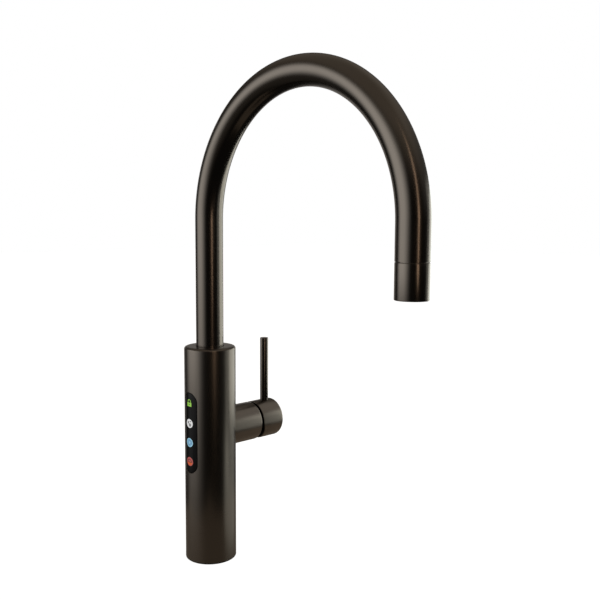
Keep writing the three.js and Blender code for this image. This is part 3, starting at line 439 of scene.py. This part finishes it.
def lying(shape):
    """Turns a shape made along +Z with its top at +X to lie along +X at the valve's height."""
    turn = Matrix.Rotation(math.pi, 3, Vector((1, 0, 1)).normalized())
    bmesh.ops.rotate(shape, verts=shape.verts, cent=(0, 0, 0), matrix=turn)
    return moved(shape, z=VALVE_Z)


def rod(radius, start, end, steps=SMALL_STEPS):
    """A plain cylinder between two points."""
    shape = bmesh.new()
    along = Vector(end) - Vector(start)
    turn = along.to_track_quat("Z", "Y").to_matrix().to_4x4()
    middle = Matrix.Translation((Vector(start) + Vector(end)) / 2)
    bmesh.ops.create_cone(shape, cap_ends=True, segments=steps, radius1=radius, radius2=radius,
                          depth=along.length, matrix=middle @ turn)
    return shape


def block(low, high):
    """A box between two corners."""
    shape = bmesh.new()
    size = Vector(high) - Vector(low)
    place = Matrix.Translation((Vector(low) + Vector(high)) / 2) @ Matrix.Diagonal((*size, 1))
    bmesh.ops.create_cube(shape, size=1, matrix=place)
    return shape


def together(*shapes):
    """Separate shapes as one."""
    whole = bmesh.new()
    for shape in shapes:
        mesh = bpy.data.meshes.new("part")
        shape.to_mesh(mesh)
        shape.free()
        whole.from_mesh(mesh)
        bpy.data.meshes.remove(mesh)
    return whole


def temporary(shape):
    """A shape as an object of the scene, for a cut."""
    mesh = bpy.data.meshes.new("temporary")
    shape.to_mesh(mesh)
    shape.free()
    item = bpy.data.objects.new("temporary", mesh)
    SCENE.collection.objects.link(item)
    return item


def combined(shape, operation, other):
    """A shape less another (DIFFERENCE), or what both hold (INTERSECT)."""
    base, tool = temporary(shape), temporary(other)
    modifier = base.modifiers.new("combine", "BOOLEAN")
    modifier.operation, modifier.object, modifier.solver = operation, tool, "EXACT"
    modifier.use_self = True
    made = bmesh.new()
    made.from_object(base, bpy.context.evaluated_depsgraph_get())
    for item in (base, tool):
        mesh = item.data
        bpy.data.objects.remove(item)
        bpy.data.meshes.remove(mesh)
    bmesh.ops.dissolve_degenerate(made, edges=made.edges, dist=1e-7)
    return made


def cut(shape, *others):
    return combined(shape, "DIFFERENCE", together(*others))


def capsule(levels):
    """A solid through capsules, given as (how much smaller all round, width, height, depth)."""
    shape = bmesh.new()
    turn = shape.verts.layers.float_vector.new("turn")
    half_step = Matrix.Rotation(math.pi / CAPSULE_STEPS, 4, "Z")
    ring = bmesh.ops.create_circle(shape, cap_ends=True, radius=1, segments=CAPSULE_STEPS,
                                   matrix=half_step)["verts"]
    for point in ring:
        point[turn] = point.co
    edges = shape.edges[:]
    for inset, width, height, depth in levels:
        for point in ring:
            across, up, _ = point[turn] * (width / 2 - inset)
            point.co = (depth, across, up + math.copysign((height - width) / 2, up))
        ring, edges = extruded(shape, edges)
    bmesh.ops.delete(shape, geom=ring, context="VERTS")
    bmesh.ops.holes_fill(shape, edges=shape.edges, sides=0)
    return outward(shape)


def draped(shape, radius, z):
    """Bends a shape of the panel's plane round the column, with its depth measured along X."""
    reach = max(abs(point.co.y) for point in shape.verts)
    count = math.floor(reach / STRIP)
    for i in range(-count, count):
        middle = (0, (i + 0.5) * STRIP, 0)
        bmesh.ops.bisect_plane(shape, geom=shape.verts[:] + shape.edges[:] + shape.faces[:],
                               dist=1e-6, plane_co=middle, plane_no=(0, 1, 0))
    bmesh.ops.triangulate(shape, faces=shape.faces)
    for point in shape.verts:
        point.co.x -= math.sqrt(radius ** 2 - point.co.y ** 2)
        point.co.z += z
    return shape


def quarter_round(width, height, depth, edge):
    """Levels of a capsule's rounded front edge, from the side to the face."""
    angles = [math.pi / 2 * i / ROUND_STEPS for i in range(ROUND_STEPS + 1)]
    return [(edge * (1 - math.cos(a)), width, height, depth + edge * (1 - math.sin(a)))
            for a in angles]


def shown(name, shape, finish, body, *nodes):
    """Puts a shape in the scene as a piece that rides on a body in the place of CAD nodes."""
    mesh = bpy.data.meshes.new(name)
    shape.to_mesh(mesh)
    shape.free()
    mesh.materials.append(finish.material)
    mesh.polygons.foreach_set("use_smooth", [True] * len(mesh.polygons))
    mesh.set_sharp_from_angle(angle=SMOOTH_ANGLE)
    item = bpy.data.objects.new(name, mesh)
    SCENE.collection.objects.link(item)
    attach(item, body)
    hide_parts(*nodes)
    return item


# ---------------------------------------------------------------------------
# Column
# ---------------------------------------------------------------------------


def add_column():
    hole = TUBE_R + GAP
    shell = turned([
        (COLUMN_BORE, 0, 0), (COLUMN_R, 0, FOOT_EDGE), (COLUMN_R, COLUMN_H, COLUMN_EDGE),
        (hole, COLUMN_H, COLLAR_EDGE), (hole, COLUMN_H - COLUMN_ROOF, 0),
        (COLUMN_BORE, COLUMN_H - COLUMN_ROOF, 0),
    ], COLUMN_STEPS)
    width, height = PANEL_W + 2 * GAP, PANEL_H + 2 * GAP
    window = draped(capsule([
        (0, width, height, 2 * FLANGE_DEPTH), (0, width, height, WINDOW_EDGE),
        (-2 * WINDOW_EDGE, width, height, -WINDOW_EDGE),
    ]), COLUMN_R, PANEL_Z)
    valve_hole = rod(CAP_BORE, (0, 0, VALVE_Z), (2 * COLUMN_R, 0, VALVE_Z))
    screw_low, screw_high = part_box("spout_grub_screw")
    screw_z = (screw_low.z + screw_high.z) / 2
    screw_r = (screw_high.z - screw_low.z) / 2
    screw_hole = rod(screw_r + GAP, (0, 0, screw_z), (0, 2 * COLUMN_R, screw_z))
    shown("column", cut(shell, window, valve_hole, screw_hole), column_metal, "tap_body",
          "body_shell")


# ---------------------------------------------------------------------------
# Touch panel
# ---------------------------------------------------------------------------

KEYS = ["lock", "sparkling", "chilled", "boiling"]


def key_z(key):
    """Height of a key's middle."""
    return PANEL_Z + ((len(KEYS) - 1) / 2 - KEYS.index(key)) * KEY_PITCH


def add_lens():
    body = capsule([
        (0, FLANGE_W, FLANGE_H, LENS_DEPTH), (0, FLANGE_W, FLANGE_H, FLANGE_DEPTH),
        (0, PANEL_W, PANEL_H, FLANGE_DEPTH),
        *quarter_round(PANEL_W, PANEL_H, 0, LENS_EDGE),
    ])
    holes = [rod(KEY_R + HAIR, (-2 * LENS_R, 0, key_z(key)), (0, 0, key_z(key)), RING_STEPS)
             for key in KEYS]
    for hole in holes:
        bmesh.ops.scale(hole, verts=hole.verts, vec=(1, KEY_STRETCH, 1))
        moved(hole, y=KEY_SHIFT)
    shown("lens", cut(draped(body, LENS_R, PANEL_Z), *holes), lens_gloss, "tap_body",
          "touch_lens")


def disc(shape, radius, y=0.0, z=0.0):
    """A flat disc in the plane of the panel."""
    place = Matrix.Translation((0, y, z)) @ Matrix.Rotation(-math.pi / 2, 4, "Y")
    bmesh.ops.create_circle(shape, cap_ends=True, radius=radius, segments=SMALL_STEPS,
                            matrix=place)


def arc(shape, inner, outer, start=0.0, sweep=360.0, y=0.0, z=0.0):
    """A flat ring or part of one, in degrees from the panel's +Y towards its top."""
    turn = Matrix.Rotation(math.radians(start), 3, "X")
    ends = [shape.verts.new(turn @ Vector((0, radius, 0)) + Vector((0, y, z)))
            for radius in (inner, outer)]
    edge = shape.edges.new(ends)
    steps = max(6, round(SMALL_STEPS * sweep / 360))
    bmesh.ops.spin(shape, geom=[*ends, edge], axis=(1, 0, 0), cent=(0, y, z),
                   angle=math.radians(sweep), steps=steps, use_merge=sweep == 360)


def bar(shape, length, width, angle=0.0, y=0.0, z=0.0):
    """A flat bar, turned in degrees from the panel's +Y towards its top."""
    place = Matrix.Translation((0, y, z)) @ Matrix.Rotation(math.radians(angle), 4, "X")
    corners = [(0, side * length / 2, end * width / 2)
               for side, end in ((-1, -1), (1, -1), (1, 1), (-1, 1))]
    shape.faces.new([shape.verts.new(place @ Vector(corner)) for corner in corners])


def inlay(name, shape, finish, key, proud, depth):
    """Flat shapes of the panel's plane as a solid that follows the lens."""
    bmesh.ops.scale(shape, verts=shape.verts, vec=(1, KEY_STRETCH, 1))
    moved(shape, y=KEY_SHIFT)
    bmesh.ops.triangulate(shape, faces=shape.faces[:])
    draped(shape, LENS_R, key_z(key))
    front = bmesh.ops.extrude_face_region(shape, geom=shape.faces[:], use_keep_orig=True)
    for point in front["geom"]:
        if isinstance(point, bmesh.types.BMVert):
            point.co.x -= proud + depth
    outward(moved(shape, x=depth))
    nodes = [] if proud else ["light_guide_" + key]
    shown(name, shape, finish, "tap_body", *nodes)


def add_keys():
    light = {
        "lock": lens_gloss,
        "sparkling": lit("key_white_glow", "key_white", (0.55, 0.55, 0.55), (0.72, 0.72, 0.72)),
        "chilled": lit("key_blue_glow", "key_blue", (0.2, 0.42, 0.54), (0.29, 0.52, 0.64)),
        "boiling": lit("key_red_glow", "key_orange", (0.3, 0.06, 0.055), (0.38, 0.085, 0.075)),
    }
    for key in KEYS:
        face = bmesh.new()
        disc(face, KEY_R)
        inlay("key_" + key, face, light[key], key, 0, KEY_DEPTH)


def add_symbols():
    ink = HAIR
    green = lit("symbol_green_glow", "key_green", (0.19, 0.43, 0.045), (0.28, 0.54, 0.07))
    dark = lit("symbol_dark", "black_lens", (0.02, 0.02, 0.02), (0.035, 0.035, 0.035))
    blue = lit("symbol_blue_glow", "key_blue", (0.015, 0.09, 0.26), (0.03, 0.12, 0.3))
    orange = lit("symbol_orange_glow", "key_orange", (0.43, 0.06, 0.013), (0.53, 0.1, 0.025))
    brown = lit("symbol_brown", "key_orange", (0.03, 0.014, 0.005), (0.04, 0.02, 0.008))

    padlock = bmesh.new()
    for side in (-1, 1):
        bar(padlock, 2.3 * MM, 3.6 * MM, y=side * 1.65 * MM, z=-1.3 * MM)
        bar(padlock, 0.75 * MM, 1 * MM, y=side * 1.725 * MM, z=1 * MM)
    bar(padlock, 1 * MM, 1.2 * MM, z=-2.5 * MM)
    bar(padlock, 1 * MM, 1.1 * MM, z=-0.05 * MM)
    arc(padlock, 1.35 * MM, 2.1 * MM, 0, 180, z=1.5 * MM)
    moved(padlock, z=1.1 * MM)
    inlay("symbol_padlock", padlock, green, "lock", PRINT_PROUD, ink)

    bubbles = bmesh.new()
    for inner, outer, y, z in ((0.6, 1.45, -0.8, -1.3), (0.35, 1.05, 1.5, 0.8),
                               (0.05, 0.65, -1.3, 2)):
        arc(bubbles, inner * MM, outer * MM, y=y * MM, z=z * MM)
    inlay("symbol_bubbles", bubbles, dark, "sparkling", PRINT_PROUD, ink)

    crystal = bmesh.new()
    for turn in range(6):
        spoke = Matrix.Rotation(math.radians(60 * turn + 30), 3, "X")
        middle = spoke @ Vector((0, 1.6 * MM, 0))
        bar(crystal, 1.1 * MM, 0.6 * MM, 60 * turn + 30, middle.y, middle.z)
    arc(crystal, 2.25 * MM, 2.85 * MM)
    inlay("symbol_crystal", crystal, blue, "chilled", PRINT_PROUD, ink)

    glow = bmesh.new()
    arc(glow, 0.05 * MM, 3.5 * MM, 200, 140)
    inlay("symbol_hot_water", glow, orange, "boiling", PRINT_PROUD, ink)

    steam = bmesh.new()
    arc(steam, 1.2 * MM, 1.8 * MM, 20, 140, z=0.75 * MM)
    for side, start in ((1, -90), (-1, 80)):
        arc(steam, 0.5 * MM, 1.1 * MM, start, 190, side * 1.75 * MM, 0.25 * MM)
    bar(steam, 3.5 * MM, 0.6 * MM, z=-0.55 * MM)
    inlay("symbol_steam", steam, brown, "boiling", 2 * PRINT_PROUD, ink)


# ---------------------------------------------------------------------------
# Mixer valve
# ---------------------------------------------------------------------------


def add_barrel():
    nut_low, nut_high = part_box("cartridge_nut")
    thread_r = (nut_high.z - nut_low.z) / 2 + GAP
    outside = lying(turned([
        (BARREL_BORE, 0, 0), (VALVE_R, 0, 0), (VALVE_R, BARREL_END, BARREL_EDGE),
        (thread_r, BARREL_END, BARREL_RIM), (thread_r, nut_low.x - GAP, 0),
        (BARREL_BORE, nut_low.x - GAP, 0),
    ], VALVE_STEPS))
    inside = rod(COLUMN_R - BARREL_SEAT, (0, 0, VALVE_Z - 2 * VALVE_R),
                 (0, 0, VALVE_Z + 2 * VALVE_R), COLUMN_STEPS)
    shown("barrel", cut(outside, inside), valve_metal, "tap_body", "valve_barrel")


def add_cap():
    hub = CAP_END - CAP_HUB
    cap = turned([
        (CAP_BORE, CAP_FACE, CAP_RIM / 2), (VALVE_R, CAP_FACE, CAP_RIM),
        (VALVE_R, CAP_END, CAP_EDGE), (0, CAP_END, 0), (0, hub, 0), (CAP_BORE, hub, 0),
    ], VALVE_STEPS)
    for point in cap.verts:
        if point.co.z < CAP_FACE + 2 * CAP_RIM and point.co.x < 0:
            point.co.z -= point.co.x * math.tan(CAP_SLANT)
    lying(cap)
    seat = STEM_HALF + GAP
    stem_hole = block((hub - STEM_LEAD, -seat, VALVE_Z - seat),
                      (hub + STEM_GRIP + GAP, seat, VALVE_Z + seat))
    lever_hole = rod(LEVER_R + LEVER_PLAY, (LEVER_X, 0, pin_low.z - GAP),
                     (LEVER_X, 0, VALVE_Z + 2 * VALVE_R), 2 * SMALL_STEPS)
    grub_low, grub_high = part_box("lever_grub_screw")
    grub_x = (grub_low.x + grub_high.x) / 2
    grub_r = (grub_high.y - grub_low.y) / 2
    grub_hole = rod(grub_r + GAP, (grub_x, 0, VALVE_Z - 2 * VALVE_R), (grub_x, 0, VALVE_Z))
    shown("cap", cut(cap, stem_hole, lever_hole, grub_hole), valve_metal, "lever", "lever_cap")


def add_lever_pin():
    pin = turned([(0, pin_low.z, 0), (LEVER_R, pin_low.z, LEVER_EDGE),
                  (LEVER_R, pin_high.z, LEVER_EDGE), (0, pin_high.z, 0)], LEVER_STEPS)
    shown("lever", moved(pin, x=LEVER_X), nozzle_metal, "lever", "lever_pin")


def add_grub_screws():
    """Hexagon socket set screws: the lever's in the cap, the spout's at the column's back."""
    screws = (("lever_set_screw", "lever", "lever_grub_screw", (0, 0, -1)),
              ("spout_set_screw", "tap_body", "spout_grub_screw", (0, 1, 0)))
    for name, body, node, axis in screws:
        low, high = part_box(node)
        out = Vector(axis)
        middle = (low + high) / 2
        half = abs((high - low).dot(out)) / 2
        radius = min(high - low) / 2 / math.cos(math.pi / SET_SCREW_FACETS)
        screw = turned([(0, -half, 0), (radius, -half, SET_SCREW_TIP),
                        (radius, half, SET_SCREW_RIM), (0, half, 0)], SMALL_STEPS)
        socket = rod(radius * HEX_SHARE, (0, 0, half - HEX_DEPTH), (0, 0, half + HEX_DEPTH), 6)
        screw = cut(screw, socket)
        turn = out.to_track_quat("Z", "Y").to_matrix()
        bmesh.ops.rotate(screw, verts=screw.verts, cent=(0, 0, 0), matrix=turn)
        shown(name, moved(screw, *middle), steel, body, node)


# ---------------------------------------------------------------------------
# Spout
# ---------------------------------------------------------------------------


def close_tube_end(tube, edges, y):
    """Joins the outer rim of an upright tube's end to the inner one."""
    middle = (TUBE_R + TUBE_BORE) / 2
    outer = [edge for edge in edges
             if math.hypot(edge.verts[0].co.x, edge.verts[0].co.y - y) > middle]
    points, _ = extruded(tube, outer)
    share = TUBE_BORE / TUBE_R
    bmesh.ops.scale(tube, verts=points, vec=(share, share, 1),
                    space=Matrix.Translation((0, -y, 0)))
    bmesh.ops.remove_doubles(tube, verts=tube.verts, dist=1e-6)


def add_spout():
    """The gooseneck, with each point's place in the unbent tube kept for the grain."""
    tube = bmesh.new()
    for radius in (TUBE_R, TUBE_BORE):
        bmesh.ops.create_circle(tube, radius=radius, segments=TUBE_STEPS,
                                matrix=Matrix.Translation((0, 0, tube_low.z)))
    start = tube.edges[:]
    points, edges = extruded(tube, start)
    bmesh.ops.translate(tube, verts=points, vec=(0, 0, ARC_Z - tube_low.z))
    arch = bmesh.ops.spin(tube, geom=points + edges, axis=(1, 0, 0), cent=(0, -ARC_R, ARC_Z),
                          angle=math.pi, steps=ARC_STEPS)["geom_last"]
    points, end = extruded(tube, [item for item in arch if isinstance(item, bmesh.types.BMEdge)])
    bmesh.ops.translate(tube, verts=points, vec=(0, 0, SEAM_Z + 1.5 * GAP - ARC_Z))
    close_tube_end(tube, start, 0)
    close_tube_end(tube, end, -2 * ARC_R)
    outward(tube)

    unbent = tube.verts.layers.float_vector.new("unbent")
    for point in tube.verts:
        x, y, z = point.co
        angle = math.atan2(z - ARC_Z, y + ARC_R) if z > ARC_Z else (0 if y > -ARC_R else math.pi)
        radial = math.hypot(z - ARC_Z, y + ARC_R) if z > ARC_Z else abs(y + ARC_R)
        fall = ARC_Z - z if z < ARC_Z else 0
        along = ARC_R * angle + (fall if y < -ARC_R else -fall)
        point[unbent] = (x, radial - ARC_R, along)
    shown("spout", tube, spout_metal, "spout", "spout_tube")


def add_nozzle():
    """The collar below the seam, with the water's ways that show from below."""
    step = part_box("nozzle_seal")[1].z + GAP
    collar = turned([
        (NOZZLE_BORE, OUTLET_Z, NOZZLE_EDGE / 2), (TUBE_R, OUTLET_Z, NOZZLE_EDGE),
        (TUBE_R, SEAM_Z, SEAM_EDGE), (TUBE_BORE - GAP, SEAM_Z, 0),
        (TUBE_BORE - GAP, SEAM_Z + JOINT_DEPTH, 0), (JOINT_BORE, SEAM_Z + JOINT_DEPTH, 0),
        (JOINT_BORE, step, 0), (NOZZLE_BORE, step, 0),
    ], TUBE_STEPS)
    shown("nozzle", moved(collar, y=-2 * ARC_R), nozzle_metal, "spout", "nozzle_collar")


# ---------------------------------------------------------------------------
# Below the worktop
# ---------------------------------------------------------------------------


def add_shank():
    """The pipe through the worktop, with its thread as a ridge wound round it."""
    low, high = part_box("mounting_shank")
    root = SHANK_R - THREAD_DEPTH
    shank = sleeve(SHANK_BORE, root, low.z, high.z, SHANK_EDGE, RING_STEPS)
    thread = bmesh.new()
    foot = root - THREAD_ROOT
    crest = [(foot, -0.45), (SHANK_R, -0.08), (SHANK_R, 0.08), (foot, 0.45)]
    ridge = [thread.verts.new((radius, 0, low.z + (1.5 + up) * THREAD_PITCH))
             for radius, up in crest]
    edges = [thread.edges.new(pair) for pair in zip(ridge, ridge[1:] + ridge[:1])]
    turns = math.floor((high.z - low.z) / THREAD_PITCH) - 2
    steps = turns * SMALL_STEPS
    bmesh.ops.spin(thread, geom=ridge + edges, axis=(0, 0, 1), cent=(0, 0, 0),
                   angle=TURN * turns, steps=steps, dvec=(0, 0, THREAD_PITCH / SMALL_STEPS))
    bmesh.ops.holes_fill(thread, edges=thread.edges[:], sides=4)
    outward(thread)
    shown("threaded_shank", together(shank, thread), brass, "tap_body", "mounting_shank")


def add_clamp():
    """The washers and the hexagonal nut with its turned-off corners."""
    washers = (("rubber_washer", "deck_washer_rubber", rubber, RUBBER_EDGE),
               ("steel_washer", "deck_washer_steel", steel, STEEL_EDGE))
    for name, node, finish, edge in washers:
        low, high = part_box(node)
        ring = sleeve(SHANK_R + GAP, high.x, low.z, high.z, edge, RING_STEPS)
        shown(name, ring, finish, "tap_body", node)
    low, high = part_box("lock_nut")
    corner = NUT_FLAT / math.sqrt(3)
    hexagon = rod(corner, (0, 0, low.z), (0, 0, high.z), 6)
    bmesh.ops.rotate(hexagon, verts=hexagon.verts, cent=(0, 0, 0),
                     matrix=Matrix.Rotation(math.radians(30), 3, "Z"))
    rounding = turned([
        (SHANK_R + GAP, low.z, NUT_BORE_EDGE), (NUT_FLAT / 2, low.z, 0),
        (corner, low.z + NUT_CHAMFER, 0), (corner, high.z - NUT_CHAMFER, 0),
        (NUT_FLAT / 2, high.z, 0), (SHANK_R + GAP, high.z, NUT_BORE_EDGE),
    ], RING_STEPS)
    shown("nut", combined(hexagon, "INTERSECT", rounding), brass, "tap_body", "lock_nut")


def add_pipes():
    """The four feed pipes' ends."""
    for name, finish in (("hot", copper), ("cold", copper), ("boiling", steel),
                         ("filtered", steel)):
        low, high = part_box(name + "_feed_pipe")
        radius = (high.y - low.y) / 2
        pipe = sleeve(radius - PIPE_WALL, radius, low.z, high.z, PIPE_EDGE)
        shown(name + "_pipe", moved(pipe, (low.x + high.x) / 2, (low.y + high.y) / 2), finish,
              "tap_body", name + "_feed_pipe")


# ---------------------------------------------------------------------------
# Inside pieces that keep their shape
# ---------------------------------------------------------------------------

KEPT = [
    (brass, "base_plate", "manifold_block", "drinking_water_tee", "swivel_socket",
     "spout_spigot", "cartridge_nut", "cartridge_stem"),
    (copper, "mixed_water_pipe"),
    (steel, "board_screw_upper", "board_screw_lower", "pivot_pin", "outlet_screen",
     "boiling_water_tip"),
    (rubber, "base_seal", "inner_tube_seal", "lens_gasket", "port_seal", "swivel_seal_lower",
     "swivel_seal_upper", "nozzle_seal", "signal_cable"),
    (white_plastic, "upper_bush", "swivel_wear_ring", "tube_spacer_rear", "tube_spacer_top",
     "tube_spacer_front", "board_connector", "cartridge_rotor"),
    (grey_plastic, "cartridge_housing", "cartridge_lid", "disc_carrier", "stream_former",
     "cable_socket"),
    (ceramic, "fixed_ceramic_disc", "moving_ceramic_disc"),
    (silicone, "inner_tube"),
    (board_green, "touch_board"),
]


def dress_kept_pieces():
    for finish, *names in KEPT:
        for name in names:
            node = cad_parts[name]
            node.data.materials.clear()
            node.data.materials.append(finish.material)


# ---------------------------------------------------------------------------
# Floor and light
# ---------------------------------------------------------------------------


def add_floor():
    """A pale floor whose light doesn't reach the metal."""
    shape = bmesh.new()
    bmesh.ops.create_grid(shape, x_segments=1, y_segments=1, size=6)
    mesh = bpy.data.meshes.new("floor")
    shape.to_mesh(mesh)
    shape.free()
    material = bpy.data.materials.new("pale_floor")
    material.use_nodes = True
    shader = material.node_tree.nodes["Principled BSDF"]
    shader.inputs["Base Color"].default_value = (0.5, 0.5, 0.5, 1)
    shader.inputs["Roughness"].default_value = 1
    shader.inputs["Specular IOR Level"].default_value = 0
    shader.inputs["Emission Color"].default_value = (1, 1, 1, 1)
    shader.inputs["Emission Strength"].default_value = 0.95
    mesh.materials.append(material)
    floor = bpy.data.objects.new("floor", mesh)
    floor.visible_glossy = floor.visible_diffuse = floor.visible_shadow = False
    SCENE.collection.objects.link(floor)


class Surroundings(Nodes):
    """What the metal mirrors, by bearing from the camera's side and height, both in degrees."""

    def __init__(self, ambient):
        world = bpy.data.worlds.new("surroundings")
        world.use_nodes = True
        SCENE.world = world
        super().__init__(world.node_tree)
        ray = self.node("TexCoord", {}, {}, "Generated")
        turned_ray = self.node("VectorRotate", {"rotation_type": "Z_AXIS"},
                               {"Vector": ray, "Angle": math.radians(-CAMERA_AZIMUTH)})
        x, y, z = (self.node("SeparateXYZ", {}, {"Vector": turned_ray}, axis) for axis in "XYZ")
        self.bearing = x.maths("ARCTAN2", x, y * -1) * math.degrees(1)
        self.height = z.maths("ARCSINE", z) * math.degrees(1)
        self.light = self.tint(ambient, 1)

    def tint(self, colour, amount):
        return self.node("VectorMath", {"operation": "SCALE"}, {0: colour, "Scale": amount})

    def edge(self, value, dark, bright):
        """0 at one angle and 1 at another, with a soft change between."""
        return self.node("MapRange", {"interpolation_type": "SMOOTHSTEP"},
                         {"Value": value, "From Min": dark, "From Max": bright})

    def glow(self, colour, bearings, heights):
        """Adds light within (dark, bright, bright, dark) bearings and heights."""
        mask = 1
        limits = ((self.bearing, bearings), (self.height, heights))
        for value, (start, full, still, end) in limits:
            mask = self.edge(value, start, full) * self.edge(value, end, still) * mask
        light = self.tint(colour, mask)
        self.light = self.node("VectorMath", {"operation": "ADD"}, {0: self.light, 1: light})

    def finish(self):
        """White behind the tap for the camera, these lights for everything else."""
        dark = self.node("Background", {}, {"Color": self.light})
        white = self.node("Background", {}, {"Color": (1, 1, 1, 1)})
        seen = self.node("LightPath", {}, {}, "Is Camera Ray")
        mixed = self.node("MixShader", {}, {0: seen, 1: dark, 2: white})
        output = self.tree.nodes["World Output"].inputs["Surface"]
        self.tree.links.new(mixed.socket, output)


def softbox(name, place, facing, width, height, radiance, tint, *pieces):
    """An even rectangle of light, unseen by the camera, for all pieces or only for some."""
    light = bpy.data.lights.new(name, "AREA")
    light.shape, light.size, light.size_y = "RECTANGLE", width, height
    light.energy, light.color = radiance * width * height * 4, tint
    item = bpy.data.objects.new(name, light)
    turn = (-Vector(facing)).to_track_quat("Z", "Y").to_matrix().to_4x4()
    item.matrix_world = Matrix.Translation(place) @ turn
    item.visible_camera = False
    SCENE.collection.objects.link(item)
    if pieces:
        lit_pieces = bpy.data.collections.new(name + "_pieces")
        for piece in pieces:
            lit_pieces.objects.link(bpy.data.objects[piece])
        item.light_linking.receiver_collection = lit_pieces


def upright_softbox(name, bearing, rise, distance, *rest):
    """A softbox that faces the column, at a bearing from the camera's side."""
    out = direction(CAMERA_AZIMUTH + bearing)
    softbox(name, out * distance + Vector((0, 0, rise)), -out, *rest)


def add_softboxes():
    """Near lights, most of them for one piece, so that each mirrors what the real one does."""
    cool, neutral, warm = (0.96, 1, 0.93), (1, 0.98, 0.94), (1, 0.8, 0.6)
    softbox("dim_worktop", (0.03, 0, 0.001), (0, 0, 1), 0.3, 0.26, 0.1, warm)
    softbox("valve_worktop", (0.17, -0.05, 0.001), (0, 0, 1), 0.2, 0.25, 0.22, warm,
            "barrel", "cap")
    upright_softbox("right_box", 117, 0.2, 0.75, 0.7, 0.46, 1.5, cool)
    upright_softbox("column_box", 79, 0.12, 0.75, 0.2, 0.6, 0.42, cool, "column")
    upright_softbox("low_right_box", 96, -0.05, 0.3, 0.4, 0.18, 0.36, cool, "column")
    upright_softbox("valve_box", 85, 0.155, 0.34, 0.2, 0.3, 0.45, cool, "barrel", "cap")
    upright_softbox("valve_back_box", 150, 0.08, 0.5, 0.4, 0.2, 2.5, cool, "barrel")
    valve_top = Vector((0.45, -0.15, 0.5))
    softbox("valve_top_box", valve_top, -valve_top, 0.6, 0.5, 0.19, neutral, "barrel", "cap")
    upright_softbox("spout_side_box", 85, 0.3, 0.6, 0.35, 0.35, 0.3, cool, "spout", "nozzle")
    upright_softbox("spout_strip", 24, 0.35, 3, 0.18, 0.7, 1.8, (1, 0.72, 0.52),
                    "spout", "nozzle")
    upright_softbox("lever_strip", 13, 0.2, 3, 0.4, 1.2, 0.8, (1, 0.8, 0.62), "lever")


def add_surroundings():
    around = (-181, -180, 180, 181)
    studio = Surroundings(ambient=(0.012, 0.011, 0.01))
    studio.glow((1.45, 1.44, 1.41), (-128, -98, -78, -25), (-29, 4, 12, 38))     # left soft box
    studio.glow((0.05, 0.044, 0.037), (-170, -120, -60, -20), (-62, -40, -25, -10))
    studio.glow((1.45, 1.04, 0.75), (13.5, 17, 21, 26), (-10, 8, 30, 60))        # warm strip
    studio.glow((0.08, 0.078, 0.075), (38, 75, 135, 175), (-2, 14, 55, 85))      # upper right
    studio.glow((0.22, 0.19, 0.155), around, (10, 55, 91, 92))                   # ceiling
    studio.glow((0.34, 0.32, 0.3), (135, 150, 180, 181), (-25, -5, 12, 20))      # wall behind
    studio.glow((0.34, 0.32, 0.3), (-181, -180, -158, -136), (-28, -10, 12, 20))
    studio.finish()


add_camera()
add_floor()
SCENE.view_settings.view_transform = "Standard"

add_column()
add_lens()
add_keys()
add_symbols()
add_barrel()
add_cap()
add_lever_pin()
add_grub_screws()
add_spout()
add_nozzle()
add_shank()
add_clamp()
add_pipes()
dress_kept_pieces()
add_surroundings()
add_softboxes()
